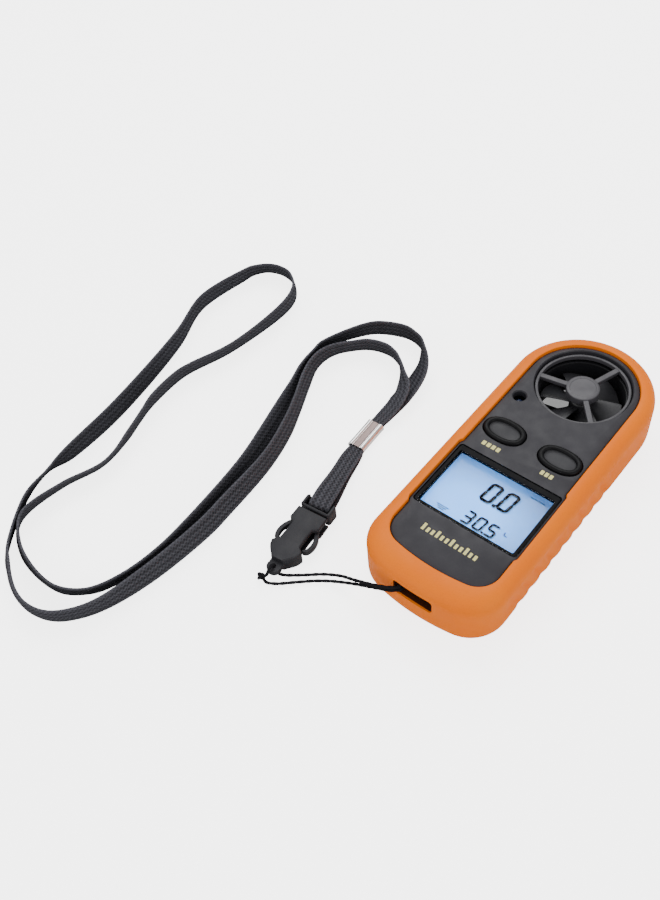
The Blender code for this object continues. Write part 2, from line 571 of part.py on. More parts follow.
def make_impeller():
    hub = span("impeller", 3.4 * MM, 5.0 * MM, 11.1 * MM, (0, FAN_Y), "blade")
    for k in range(BLADES):
        angle = 2 * math.pi * k / BLADES
        reach = BLADE_RADIUS - 2.0 * MM
        turn = Matrix.Rotation(angle, 4, "Z") @ Matrix.Translation((2.0 * MM + reach / 2, 0, 0))
        blade = box(f"blade_{k}", (reach, 6.6 * MM, 0.8 * MM), (0, FAN_Y, 8.0 * MM),
                    turn=turn @ Matrix.Rotation(BLADE_PITCH, 4, "X"))
        join_with(hub, blade)
    trim = turned("blade_trim", [(20 * MM, 14 * MM), (20 * MM, 2 * MM), (BLADE_RADIUS, 2 * MM),
                                 (BLADE_RADIUS, 14 * MM)], "case", (0, FAN_Y, 0), 36)
    cut_with(hub, trim, span("shaft_bore", 1.05 * MM, 0, 16 * MM, (0, FAN_Y), sides=20))


# ---------------------------------------------------------------- fasteners

def make_screws():
    for k, (x, y) in enumerate(SCREWS):
        profile = [(0, 10.0 * MM), (0.6 * MM, 10.0 * MM), (1.0 * MM, 9.2 * MM), (1.0 * MM, 1.1 * MM),
                   (2.0 * MM, 1.1 * MM), (2.0 * MM, 0.6 * MM), (1.8 * MM, REAR_Z), (0, REAR_Z)]
        screw = turned(f"case_screw_{k + 1}", profile, "steel", (x, y, 0), 16)
        for turn in (0, 1):
            size = (2.2 * MM, 0.5 * MM, 0.7 * MM) if turn else (0.5 * MM, 2.2 * MM, 0.7 * MM)
            cut_with(screw, box(f"cross_{k}_{turn}", size, (x, y, REAR_Z)))


def make_lanyard_pin():
    rod("lanyard_pin", 0.8 * MM, 16.8 * MM, (0, PIN_Y, SLOT_Z), "steel", axis="X", sides=20)


# ---------------------------------------------------------------- buckle, crimp and cords

def buckle_frame():
    """An empty in the middle of the joint line; its +X runs along the socket to its tip."""
    frame = bpy.data.objects.new("buckle_frame", None)
    frame.location = BUCKLE_AT
    frame.rotation_euler = (0, 0, BUCKLE_TURN)
    PARTS.objects.link(frame)
    return frame


def socket_outline():
    """Half of the spade-shaped socket, then its mirror."""
    upper = [(0.3, 4.9), (4.6, 5.0), (6.0, 3.4), (12.2, 3.5), (13.8, 5.1), (15.2, 4.7), (17.0, 3.3),
             (18.3, 2.1)]
    tip = [(x / MM, y / MM) for x, y in arc((20.2 * MM, 0), 2.1 * MM, 1.9, 0, 6)]
    half = upper + tip
    points = half + [(x, -y) for x, y in reversed(half[:-1])]
    return [(x * MM, y * MM) for x, y in reversed(points)]


def make_socket(frame):
    socket = plate("buckle_socket", socket_outline(), 0, BUCKLE_THICK, "buckle")
    socket.parent = frame
    bevel = socket.modifiers.new("edges", "BEVEL")
    bevel.width = 0.6 * MM
    bevel.segments = 1
    bevel.limit_method = "ANGLE"
    bevel.angle_limit = math.radians(60)
    slab = box("socket_mouth", (13.5 * MM, 20 * MM, BUCKLE_THICK - 2 * PLATE),
               (6.0 * MM, 0, BUCKLE_THICK / 2))
    eye = span("socket_eye", 1.0 * MM, -1 * MM, 8 * MM, (20.2 * MM, 0), sides=20)
    under = box("tip_under", (6 * MM, 8 * MM, 3.2 * MM), (21.4 * MM, 0, 0))
    over = box("tip_over", (6 * MM, 8 * MM, 3.2 * MM), (21.4 * MM, 0, BUCKLE_THICK))
    for tool in (slab, eye, under, over):
        tool.parent = frame
    cut_with(socket, slab, eye, under, over)


def make_plug(frame):
    """The strap's half: a frame with a slot for the tape, and a tongue that guides it into the socket."""
    points = rounded_box(2.15 * MM, 4.95 * MM, 0.8 * MM, (-2.45 * MM, 0))
    plug = plate("buckle_plug", points, 0.1 * MM, BUCKLE_THICK - 0.1 * MM, "buckle")
    tongue = box("plug_tongue", (10.6 * MM, 2.2 * MM, BUCKLE_THICK - 2 * PLATE - 2 * GAP),
                 (4.6 * MM, 0, BUCKLE_THICK / 2))
    way = box("tape_way", (2.2 * MM, 8.2 * MM, 20 * MM), (-2.1 * MM, 0, 0))
    high = BUCKLE_THICK + 0.1 * MM
    sink_top = box("tape_sink", (3.0 * MM, 8.2 * MM, 3.0 * MM), (-4.2 * MM, 0, high))
    sink_low = box("tape_sink_low", (3.0 * MM, 8.2 * MM, 2.6 * MM), (-4.2 * MM, 0, 0))
    for part in (plug, tongue, way, sink_top, sink_low):
        part.parent = frame
    join_with(plug, tongue)
    cut_with(plug, way, sink_top, sink_low)


def make_arm(frame, side):
    """A release arm: it bends out through the socket's open side and hooks in again at its end."""
    pivot = bpy.data.objects.new(f"arm_pivot_{side}", None)
    pivot.parent = frame
    pivot.location = (0.9 * MM, side * 2.9 * MM, BUCKLE_THICK / 2)
    PARTS.objects.link(pivot)
    inner = [(0.0, -0.7), (3.0, 0.1), (6.0, 1.9), (8.5, 2.5), (10.4, 2.0), (11.0, 0.8)]
    outer = [(11.6, 1.4), (10.9, 2.8), (8.8, 3.5), (6.0, 3.1), (3.4, 1.6), (0.0, 0.7)]
    half_thick = BUCKLE_THICK / 2 - PLATE - GAP
    points = [(x * MM, side * y * MM) for x, y in inner + outer]
    if side < 0:
        points.reverse()
    name = "release_arm_left" if side < 0 else "release_arm_right"
    arm = plate(name, points, -half_thick, half_thick, "buckle")
    arm.parent = pivot


def make_crimp():
    """Folded metal ferrule round the gathered tape, with two lengthwise creases in front."""
    length, width, height = CRIMP_SIZE
    points = rounded_box(length / 2, width / 2, 0.2 * MM, count=1)
    crimp = plate("strap_crimp", points, 0, height, "steel", (*CRIMP_AT, REST_LIFT))
    crimp.rotation_euler = (0, 0, CRIMP_TURN)
    bevel = crimp.modifiers.new("edges", "BEVEL")
    bevel.width = 0.5 * MM
    bevel.segments = 1
    bevel.limit_method = "ANGLE"
    bevel.angle_limit = math.radians(60)
    bore = box("crimp_bore", (length * 2, width - 0.8 * MM, height - 1.1 * MM), (0, 0, height / 2))
    creases = [box(f"crease_{side}", (length * 2, 0.35 * MM, 0.5 * MM), (0, side * CREASE, height))
               for side in (-1, 1)]
    for tool in [bore] + creases:
        tool.parent = crimp
    cut_with(crimp, bore, *creases)


def tape_curve(name, rows, finish):
    """A flat tape along rows of (x, y, z, tilt, scale)."""
    data = bpy.data.curves.new(name, "CURVE")
    data.dimensions = "3D"
    data.twist_mode = "Z_UP"
    data.use_fill_caps = True
    data.bevel_depth = STRAP_THICK / 2
    data.bevel_resolution = 1
    data.extrude = (STRAP_WIDTH - STRAP_THICK) / 2
    line = data.splines.new("POLY")
    line.points.add(len(rows) - 1)
    for point, (x, y, z, tilt, scale) in zip(line.points, rows):
        point.co = (x, y, z, 1)
        point.tilt = tilt
        point.radius = scale
    return add_object(name, data, finish)


def make_neck_strap():
    """One tape that leaves the crimp, runs round the neck loop on its edge and comes back.

    Its ends are gathered and lie flat, one on the other, where they enter the crimp.
    """
    rows = [tuple(value * MM for value in row) for row in STRAP_ROUTE]
    path = smooth_path(rows, 6 * MM)
    walked = [0.0]
    for a, b in zip(path, path[1:]):
        walked.append(walked[-1] + (b.xy - a.xy).length)
    rows = []
    for p, s in zip(path, walked):
        lean = math.radians(p.z / MM)
        near = min(s, walked[-1] - s)
        scale = min(1.0, GATHER + (1 - GATHER) * max(0.0, near - GATHER_HOLD) / GATHER_RUN)
        half = (STRAP_WIDTH - STRAP_THICK) / 2 * scale
        z = REST_LIFT + abs(math.sin(lean)) * half + STRAP_THICK / 2 * scale + max(0.0, p.w)
        rows.append((p.x, p.y, z, lean - math.pi / 2, scale))
    tape_curve("neck_strap", rows, "tape")


def make_tail():
    """The tape between crimp and buckle, folded round the plug's bar."""
    start = Vector(TAIL_FROM)
    along = Vector((math.cos(CRIMP_TURN), math.sin(CRIMP_TURN)))
    end = Vector(CRIMP_AT) - along * (CRIMP_SIZE[0] / 2 - 1.8 * MM)
    run = end - start
    length = run.length
    mid = BUCKLE_THICK / 2 + BUCKLE_AT[2]
    fold = [((0.55 + 1.05 * math.sin(a)) * MM, mid - 1.95 * MM * math.cos(a)) for a in
            [math.pi * i / 8 for i in range(9)]]
    low_end = CRIMP_SIZE[2] / 2 + REST_LIFT - 0.45 * MM
    high_end = CRIMP_SIZE[2] / 2 + REST_LIFT + 0.45 * MM
    rows = [(-length, low_end, 0.5), (-length + 3 * MM, low_end, 0.55), (-length / 2, 1.1 * MM, 0.76),
            (-4 * MM, 0.75 * MM, 0.88)]
    rows += [(x, z, 0.86) for x, z in fold]
    rows += [(-4 * MM, 4.5 * MM, 0.88), (-length / 2, 3.4 * MM, 0.76),
             (-length + 3 * MM, high_end, 0.55), (-length, high_end, 0.5)]
    data = bpy.data.curves.new("strap_tail", "CURVE")
    data.dimensions = "3D"
    data.use_fill_caps = True
    data.bevel_depth = 0.45 * MM
    data.bevel_resolution = 1
    data.extrude = 3.4 * MM
    line = data.splines.new("POLY")
    line.points.add(len(rows) - 1)
    for point, (x, z, scale) in zip(line.points, rows):
        point.co = (x, z, 0, 1)
        point.radius = scale
    tail = add_object("strap_tail", data, "tape", (start.x, start.y, 0))
    facing = math.atan2(-run.y, -run.x)
    tail.rotation_euler = (math.pi / 2, 0, facing)


def make_loop_cord():
    """The thin cord between the foot of the meter and the buckle."""
    path = smooth_path([(x * MM, y * MM, z * MM) for x, y, z in CORD_ROUTE], 1.9 * MM)
    data = bpy.data.curves.new("loop_cord", "CURVE")
    data.dimensions = "3D"
    data.use_fill_caps = True
    data.bevel_depth = CORD_RADIUS
    data.bevel_resolution = 2
    line = data.splines.new("POLY")
    line.points.add(len(path) - 1)
    for point, place in zip(line.points, path):
        point.co = (*place, 1)
    add_object("loop_cord", data, "tape")
    bm = bmesh.new()
    bmesh.ops.create_uvsphere(bm, u_segments=10, v_segments=7, radius=KNOT_RADIUS)
    from_bmesh("cord_knot", bm, "tape", KNOT_AT)


def build():
    make_boot()
    make_front_case()
    make_rear_case()
    make_display()
    make_board()
    make_power()
    make_button("button_mode", -BUTTON_X)
    make_button("button_set", BUTTON_X)
    make_sensors()
    make_fan()
    make_screws()
    make_lanyard_pin()
    frame = buckle_frame()
    make_socket(frame)
    make_plug(frame)
    make_arm(frame, -1)
    make_arm(frame, 1)
    make_crimp()
    make_tail()
    make_neck_strap()
    make_loop_cord()


clear_scene()
PARTS = make_collection(METER)
TOOLS = make_collection("tools")
FINISH = {name: make_material(name) for name in MATERIALS}
build()
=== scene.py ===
"""Looks of the handheld weather meter and its lanyard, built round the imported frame.

Everything is in metres in the frame's own axes: the meter lies on its back with its fan end
towards +Y, and its front faces +Z.
"""
from math import copysign, cos, exp, pi, radians, sin, tan

import bmesh
import bpy
from mathutils import Matrix, Vector


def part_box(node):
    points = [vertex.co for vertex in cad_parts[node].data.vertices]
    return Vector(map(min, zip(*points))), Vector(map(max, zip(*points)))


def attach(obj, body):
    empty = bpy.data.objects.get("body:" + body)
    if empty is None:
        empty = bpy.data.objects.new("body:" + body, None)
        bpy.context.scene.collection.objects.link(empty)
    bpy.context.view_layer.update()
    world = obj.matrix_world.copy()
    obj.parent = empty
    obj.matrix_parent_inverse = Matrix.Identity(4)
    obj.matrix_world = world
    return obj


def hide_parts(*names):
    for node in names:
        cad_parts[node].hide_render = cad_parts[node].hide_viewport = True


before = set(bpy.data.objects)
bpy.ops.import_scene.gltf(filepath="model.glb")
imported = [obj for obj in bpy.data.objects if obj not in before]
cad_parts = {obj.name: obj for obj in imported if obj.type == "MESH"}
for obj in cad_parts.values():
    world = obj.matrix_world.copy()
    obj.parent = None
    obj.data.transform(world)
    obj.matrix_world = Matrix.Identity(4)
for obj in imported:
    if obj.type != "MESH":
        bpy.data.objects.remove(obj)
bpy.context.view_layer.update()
MM = 0.001


def mm(*values):
    """Millimetres to metres."""
    return tuple(value * MM for value in values)


def turned_at(place, angle, axis="Z"):
    """The matrix that turns about an axis and then moves."""
    return Matrix.Translation(place) @ Matrix.Rotation(angle, 4, axis)


def unit(value):
    """Keep a number between 0 and 1."""
    return min(1.0, max(0.0, value))


def show(obj):
    bpy.context.scene.collection.objects.link(obj)
    return obj


# ---- measures

BOX_LOW, BOX_HIGH = (Vector(p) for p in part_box("rubber_boot"))
BODY_WIDTH = BOX_HIGH.x - BOX_LOW.x
BODY_LENGTH = BOX_HIGH.y - BOX_LOW.y
BODY_HEIGHT = BOX_HIGH.z
FACE_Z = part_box("front_case")[1][2]
WINDOW_LOW, WINDOW_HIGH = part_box("lcd_window")
WINDOW_Y = (WINDOW_LOW[1] + WINDOW_HIGH[1]) / 2
WINDOW_HALF = [(high - low) / 2 for low, high in zip(WINDOW_LOW[:2], WINDOW_HIGH[:2])]
HEAD_Y = 31.3 * MM
FAN_Y = 32.3 * MM
FAN = (0, FAN_Y)
WELL = (0, -17 * MM)
KEY_Y = 4.4 * MM
AIR_HOLE = mm(-12.9, 18.3)
SCREWS = [mm(11.0, -38.5), mm(-11.0, -38.5), mm(11.3, 13.4), mm(-11.3, 13.4)]
FOOT_CORNER = 11.4 * MM
FOOT_SLOPE = 0.18
EDGE_TOP = 3.7 * MM
EDGE_TOP_FOOT = 6.4 * MM
EDGE_REAR = 4.0 * MM
WALL = 2.2 * MM
CASE_INSET = WALL + 0.3 * MM
SHOULDER_Z = 15.2 * MM
REAR_Z = 0.4 * MM
FLOOR_Z = 2.0 * MM
NOTCH = 0.6 * MM
FACE_INSET = mm(4.8, 7.9)
LIP_INSET = mm(4.5, 7.6)
REAR_INSET = 5.6 * MM
SIDE_STEP = 0.45 * MM
SLOT_HALF = mm(6.2, 2.6)
SLOT_Z = 11.2 * MM

RIB_PITCH = 5.6 * MM
RIB_DEPTH = 0.65 * MM
RIB_SLANT = 0.55
RIB_TOP = 14.0 * MM
RIB_RUN = mm(-39.0, 15.0)
LEAST_RADIUS = 0.00002

STRAP_WIDTH = 8.0 * MM
STRAP_THICK = 1.1 * MM
REST_LIFT = 0.1 * MM
GATHER = 0.58
GATHER_HOLD = 5 * MM
GATHER_RUN = 10 * MM
BRAID_PITCH, BRAID_ACROSS, BRAID_DEPTH = mm(1.3, 1.6, 0.04)
PLEAT_PITCH, PLEAT_DEPTH = mm(2.1, 0.34)
WEAVE_BUMP = 0.14 * MM
CRIMP_AT = mm(-48.1, -10.8)
CRIMP_TURN = radians(93.4)
CRIMP_SIZE = mm(10.9, 5.9, 3.0)
CREASE = 1.35 * MM
BUCKLE = turned_at(mm(-41.3, -43.6, 0.2), radians(-83.8))
BUCKLE_THICK = 5.0 * MM
PLATE = 1.3 * MM
TAIL_FROM = mm(-41.7, -40.0)
CORD_RADIUS = 0.5 * MM
KNOT_AT = Vector((-0.0408, -0.0676, 0.0016))

# Neck strap: x and y in metres, the lean of its width above the surface in degrees, and in metres how
# much higher than the surface it lies. A fit made these rows, not a choice by hand.
STRAP_ROUTE = [
    (-0.0482, -0.0088, 180, 0.0007), (-0.0484, -0.0052, 179, 0.00065), (-0.0484, 0.0006, 168, 0.0004),
    (-0.0478, 0.0057, 153, 0.0002), (-0.0482, 0.0115, 149, 0.0001), (-0.0493, 0.0172, 143, 0),
    (-0.0534, 0.0257, 101, 0), (-0.0579, 0.0298, 80, 0), (-0.0625, 0.0306, 79, 0),
    (-0.0691, 0.0286, 78, 0), (-0.0743, 0.025, 76, 0), (-0.0826, 0.0095, 68, 0), (-0.0821, 0.0038, 73, 0),
    (-0.0803, -0.0034, 87, 0), (-0.0775, -0.0104, 99, 0), (-0.0742, -0.0213, 112, 0),
    (-0.07, -0.039, 105, 0), (-0.0688, -0.0492, 96, 0), (-0.0678, -0.0692, 85, 0), (-0.0682, -0.08, 77, 0),
    (-0.0701, -0.0902, 71, 0), (-0.0732, -0.0982, 69, 0), (-0.076, -0.1017, 69, 0),
    (-0.0835, -0.1058, 79, 0), (-0.102, -0.103, 103, 0), (-0.1105, -0.0955, 112, 0),
    (-0.1095, -0.0805, 120, 0), (-0.1055, -0.068, 122, 0), (-0.1074, -0.055, 110, 0),
    (-0.1097, -0.0473, 109, 0), (-0.1115, -0.0408, 106, 0), (-0.1123, -0.0291, 107, 0),
    (-0.1114, -0.0231, 111, 0), (-0.1068, -0.009, 113, 0), (-0.1045, 0.014, 101, 0),
    (-0.1061, 0.0227, 92, 0), (-0.1109, 0.0281, 81, 0), (-0.1153, 0.0298, 72, 0), (-0.12, 0.0296, 66, 0),
    (-0.1236, 0.0279, 63, 0), (-0.1259, 0.0251, 65, 0), (-0.1272, 0.021, 72, 0), (-0.13, 0.002, 80, 0),
    (-0.124, -0.0165, 88, 0), (-0.118, -0.05, 92, 0), (-0.117, -0.069, 84, 0), (-0.1175, -0.0805, 56, 0),
    (-0.114, -0.092, 69, 0), (-0.1041, -0.1063, 70, 0), (-0.0998, -0.1093, 71, 0),
    (-0.0952, -0.112, 76, 0), (-0.0894, -0.1141, 86, 0), (-0.0839, -0.1145, 94, 0),
    (-0.079, -0.1133, 98, 0), (-0.0752, -0.1108, 99, 0), (-0.0701, -0.104, 97, 0),
    (-0.0655, -0.0877, 84, 0), (-0.0634, -0.0658, 78, 0), (-0.0638, -0.057, 77, 0),
    (-0.0652, -0.0372, 82, 0), (-0.0685, -0.0242, 80, 0), (-0.0722, -0.0149, 82, 0),
    (-0.0766, -0.0054, 81, 0), (-0.0793, 0.0037, 94, 0), (-0.0776, 0.011, 107, 0),
    (-0.0746, 0.0148, 110, 0), (-0.07, 0.0189, 108, 0), (-0.0635, 0.0206, 105, 0),
    (-0.0586, 0.0193, 101, 0), (-0.056, 0.0174, 96, 0), (-0.0517, 0.0122, 72, 0.0008),
    (-0.0486, 0.008, 46, 0.0019), (-0.0477, 0.0039, 30, 0.0019), (-0.0479, -0.0001, 14, 0.00165),
    (-0.0484, -0.005, 3, 0.00145), (-0.0482, -0.0088, 0, 0.00145)]

# Thin cord: from the knot to the bar in the foot, round it, and back through the buckle's eye.
CORD_ROUTE = [
    (-0.0388, -0.0679, 0.0009), (-0.0366, -0.0669, 0.0008),
    (-0.0320, -0.0629, 0.0008), (-0.0280, -0.0594, 0.0008), (-0.0240, -0.0570, 0.0014),
    (-0.0175, -0.0554, 0.0044), (-0.0095, -0.0541, 0.0082), (-0.0062, -0.0533, 0.0095),
    (-0.0044, -0.0518, 0.0097), (-0.0037, -0.0495, 0.0095), (-0.0037, -0.0468, 0.0093),
    (-0.0037, -0.0448, 0.0112), (-0.0037, -0.0468, 0.0131), (-0.0038, -0.0494, 0.0120),
    (-0.0045, -0.0519, 0.0112), (-0.0065, -0.0535, 0.0109), (-0.0097, -0.0543, 0.0096),
    (-0.0173, -0.0548, 0.0057), (-0.0225, -0.0547, 0.0026), (-0.0274, -0.0563, 0.0008),
    (-0.0330, -0.0608, 0.00075), (-0.0364, -0.0632, 0.00075), (-0.0382, -0.0637, 0.0008),
    (-0.0390, -0.0636, 0.0014), (-0.0391, -0.0636, 0.0027), (-0.0391, -0.0637, 0.0040),
    (-0.0390, -0.0645, 0.0048), (-0.0389, -0.0658, 0.0046), (-0.0389, -0.0668, 0.0035),
    (-0.0394, -0.0672, 0.0026)]

CAMERA_AT = (0.08095, -0.15749, 0.23809)
CAMERA_AZIMUTH = radians(44.71)
CAMERA_ELEVATION = radians(51.03)
CAMERA_ROLL = radians(-6.91)
CAMERA_LENS = 40.0
FLOOR_DROP = 0.0002
FLOOR_GLOW = 3.8
SHADE_SHARE = 0.09
WORLD_LIGHT = 0.5
AIM = (-0.03, 0, 0)
# Name, place, size and power of each light.
LIGHTS = [("key", (-0.25, 0.30, 0.55), (0.5, 0.5), 3.6),
          ("fill", (0.55, -0.10, 0.35), (0.4, 0.4), 1.5),
          ("front", (-0.25, -0.50, 0.35), (0.4, 0.3), 1.1)]
DISPLAY_EDGE = (0.02, 0.07, 0.2)
DISPLAY_MIDDLE = (0.095, 0.38, 1.0)
DISPLAY_GLOW = 2.9
SHINE = "Specular IOR Level"


# ---- materials

class Nodes:
    """A Principled material whose inputs are fed by small chains of nodes."""

    def __init__(self, name, colour, roughness, sockets):
        self.material = bpy.data.materials.new(name)
        self.material.use_nodes = True
        self.tree = self.material.node_tree
        self.shader = self.tree.nodes["Principled BSDF"]
        self.feed(self.shader, sockets)
        self.colour = self.rgb(colour)
        self.roughness = roughness
        self.normal = None
        self.place = self.new("TexCoord").outputs["Object"]

    def feed(self, node, sockets):
        """Give a node's inputs numbers or other nodes' outputs."""
        for key, source in sockets.items():
            if isinstance(source, bpy.types.NodeSocket):
                self.tree.links.new(source, node.inputs[key])
            else:
                node.inputs[key].default_value = source
        return node

    def new(self, kind, **sockets):
        node = self.tree.nodes.new("ShaderNode" + kind)
        return self.feed(node, {key.replace("_", " "): source for key, source in sockets.items()})

    def rgb(self, colour):
        node = self.new("RGB")
        node.outputs[0].default_value = (*colour, 1)
        return node.outputs[0]

    def maths(self, operation, *sources):
        node = self.new("Math")
        node.operation = operation
        return self.feed(node, dict(enumerate(sources))).outputs[0]

    def noise(self, scale, detail, stretch=None):
        place = self.place
        if stretch:
            place = self.new("Mapping", Vector=place, Scale=stretch).outputs["Vector"]
        return self.new("TexNoise", Vector=place, Scale=scale, Detail=detail).outputs["Fac"]

    def ramp(self, value, low, high, to_low, to_high):
        return self.new("MapRange", Value=value, From_Min=low, From_Max=high, To_Min=to_low,
                        To_Max=to_high).outputs["Result"]

    def tint(self, amount, colour):
        """Mix the colour so far towards another one."""
        node = self.new("Mix", Factor=amount)
        node.data_type = "RGBA"
        self.colour = self.feed(node, {6: self.colour, 7: (*colour, 1)}).outputs[2]

    def mottle(self, value, low, high, amount, colour):
        """Tint where a value runs from low to high."""
        self.tint(self.ramp(value, low, high, 0.0, amount), colour)

    def bump(self, height, distance, strength):
        node = self.new("Bump", Height=height, Distance=distance, Strength=strength)
        if self.normal is not None:
            self.feed(node, {"Normal": self.normal})
        self.normal = node.outputs["Normal"]

    def rough(self, value, low, high):
        self.roughness = self.ramp(value, 0.3, 0.7, low, high)

    def done(self):
        self.feed(self.shader, {"Base Color": self.colour, "Roughness": self.roughness})
        if self.normal is not None:
            self.feed(self.shader, {"Normal": self.normal})
        return self.material


def shaded(colour, share):
    return [c * share for c in colour]


def moulded(name, colour, low, high, grain=3200, depth=0.03, shine=0.5, light=None):
    """Moulded plastic or rubber: fine grain, slight mottle and uneven gloss."""
    n = Nodes(name, colour, low, {SHINE: shine})
    fine = n.noise(grain, 3)
    n.mottle(n.noise(90, 4), 0.35, 0.75, 0.35, light or shaded(colour, 1.25))
    n.mottle(fine, 0.5, 0.75, 0.2, shaded(colour, 0.7))
    n.rough(n.noise(260, 3), low, high)
    n.bump(fine, depth * MM, 0.6)
    return n


def metal(name, colour, low, high, stretch=(1, 1, 12)):
    """Rolled or turned metal with fine drawn lines."""
    n = Nodes(name, colour, low, {"Metallic": 1.0})
    lines = n.noise(900, 3, stretch)
    n.mottle(n.noise(300, 4), 0.4, 0.75, 0.45, shaded(colour, 0.72))
    n.rough(lines, low, high)
    n.bump(lines, 0.01 * MM, 0.5)
    return n


def woven(name, colour):
    """Flat braid: two sets of slanting strands over each other, from the tape's own UV map, with painted
    highlights on the raised strands, the edges and the pleat ridges, and painted shade in the pleat
    valleys.
    """
    n = Nodes(name, colour, 0.95, {SHINE: 0.02})
    pin = n.new("UVMap")
    pin.uv_map = "tape"
    split = n.new("SeparateXYZ", Vector=pin.outputs["UV"])
    u, v = split.outputs["X"], split.outputs["Y"]
    along = n.maths("MULTIPLY", u, 2 * pi / BRAID_PITCH)
    wide = n.maths("MULTIPLY", v, 2 * pi / BRAID_ACROSS)
    strands = n.maths("MAXIMUM", n.maths("SINE", n.maths("ADD", along, wide)),
                      n.maths("SINE", n.maths("SUBTRACT", along, wide)))
    threads = n.maths("SINE", n.maths("ADD", n.maths("MULTIPLY", along, 5.0),
                                      n.maths("MULTIPLY", wide, 4.0)))
    pleat_shade_and_highlight = n.maths("COSINE", n.maths("MULTIPLY", v, 2 * pi / PLEAT_PITCH))
    # Raised strands painted lighter: a painted highlight on the braid.
    n.mottle(strands, 0.1, 0.95, 0.75, shaded(colour, 3.2))
    # Pleat valleys painted darker and pleat ridges lighter: painted shade and painted highlight.
    n.mottle(pleat_shade_and_highlight, 0.0, 1.0, 0.5, shaded(colour, 0.5))
    n.mottle(pleat_shade_and_highlight, -0.2, -1.0, 0.35, shaded(colour, 2.8))
    # Both long edges painted lighter: a painted highlight along the tape's edges.
    n.mottle(n.maths("ABSOLUTE", v), *mm(3.3, 3.9), 0.6, shaded(colour, 3.4))
    n.mottle(n.noise(1400, 3), 0.45, 0.75, 0.5, shaded(colour, 0.5))
    n.mottle(n.noise(60, 3), 0.4, 0.8, 0.4, shaded(colour, 1.8))
    n.bump(strands, WEAVE_BUMP, 0.6)
    n.bump(threads, WEAVE_BUMP * 0.25, 0.5)
    return n


def printed(name, colour):
    """Thin print, slightly broken where the ink is worn."""
    n = Nodes(name, colour, 0.5, {SHINE: 0.1})
    n.mottle(n.noise(2600, 3), 0.55, 0.75, 0.45, shaded(colour, 0.55))
    n.bump(n.noise(3000, 2), 0.01 * MM, 0.4)
    n.rough(n.noise(900, 2), 0.4, 0.6)
    return n


def display_face(name):
    """Backlit display: pale in the middle and bluer towards its edges."""
    n = Nodes(name, DISPLAY_EDGE, 0.25, {})
    split = n.new("SeparateXYZ", Vector=n.place)
    x, y = (n.maths("DIVIDE", n.maths("ADD", split.outputs[axis], shift * MM), reach * MM)
            for axis, shift, reach in (("X", 3, 20), ("Y", 22, 13)))
    away = n.maths("SQRT", n.maths("ADD", n.maths("MULTIPLY", x, x), n.maths("MULTIPLY", y, y)))
    n.tint(n.ramp(away, 0.35, 1.25, 1.0, 0.0), DISPLAY_MIDDLE)
    n.mottle(n.noise(5200, 1), 0.4, 0.7, 0.06, (0.2, 0.3, 0.5))
    n.feed(n.shader, {"Emission Color": n.colour, "Emission Strength": DISPLAY_GLOW})
    n.colour = n.rgb((0.03, 0.05, 0.09))
    n.mottle(n.noise(900, 2), 0.4, 0.7, 0.3, (0.05, 0.07, 0.11))
    n.rough(n.noise(700, 2), 0.2, 0.32)
    return n


def lens(name):
    n = Nodes(name, (0.98, 0.99, 1.0), 0.03, {"Transmission Weight": 1.0, "IOR": 1.1})
    n.mottle(n.noise(120, 3), 0.5, 0.8, 0.2, (0.9, 0.94, 0.97))
    n.rough(n.noise(500, 3), 0.0, 0.015)
    n.bump(n.noise(120, 1), 0.001 * MM, 0.1)
    return n


# Colour, least and most roughness, and where they differ from the usual: grain, its depth in mm,
# shine and the lighter mottle.
PLASTICS = {
    "boot": ((0.97, 0.195, 0.0), 0.45, 0.58, 2400, 0.035, 0.12, (1.0, 0.25, 0.0)),
    "case": ((0.027, 0.026, 0.032), 0.46, 0.6, 4200, 0.03, 0.28, (0.045, 0.043, 0.051)),
    # The bezel's black is partly its own colour and partly painted shade round the display.
    "bezel": ((0.004, 0.004, 0.005), 0.5, 0.6, 4200, 0.01, 0.1),
    "grille": ((0.058, 0.056, 0.064), 0.42, 0.6, 4200),
    "key_rim": ((0.004, 0.004, 0.005), 0.4, 0.55, 3000, 0.02, 0.15),
    "key_middle": ((0.03, 0.03, 0.034), 0.5, 0.62, 3600, 0.035, 0.3),
    "blade": ((0.03, 0.03, 0.034), 0.3, 0.45, 3000, 0.02, 0.35),
    "dark_plastic": ((0.01, 0.01, 0.012), 0.45, 0.6, 3600, 0.03, 0.25),
    "buckle": ((0.024, 0.024, 0.028), 0.45, 0.6, 3000, 0.03, 0.2, (0.044, 0.044, 0.05)),
    # The slot's dark sheet is painted shade inside the lanyard slot.
    "slot_liner": ((0.05, 0.012, 0.002), 0.5, 0.65, 2400, 0.03, 0.2),
    "seal": ((0.02, 0.02, 0.02), 0.6, 0.75),
    "bead": ((0.02, 0.03, 0.08), 0.2, 0.35),
    "zebra": ((0.25, 0.1, 0.2), 0.5, 0.65),
    "backlight": ((0.8, 0.86, 0.92), 0.3, 0.45),
    "cord": ((0.014, 0.014, 0.016), 0.8, 0.95, 5000, 0.04, 0.03),
    "board": ((0.015, 0.13, 0.05), 0.3, 0.45)}
METALS = {
    "steel": ((0.62, 0.62, 0.64), 0.22, 0.38),
    "contact": ((0.83, 0.62, 0.28), 0.22, 0.35),
    "magnet": ((0.45, 0.45, 0.48), 0.25, 0.4),
    "crimp": ((0.92, 0.91, 0.9), 0.26, 0.4, (14, 1, 14)),
    # The crimp's valley finish is painted shade in its sunk middle.
    "crimp_valley_shade": ((0.24, 0.185, 0.175), 0.4, 0.55, (14, 1, 14))}
PRINTS = {"print": (0.82, 0.76, 0.30), "segment": (0.002, 0.004, 0.012),
          "segment_shadow": (0.2, 0.5, 1.0)}


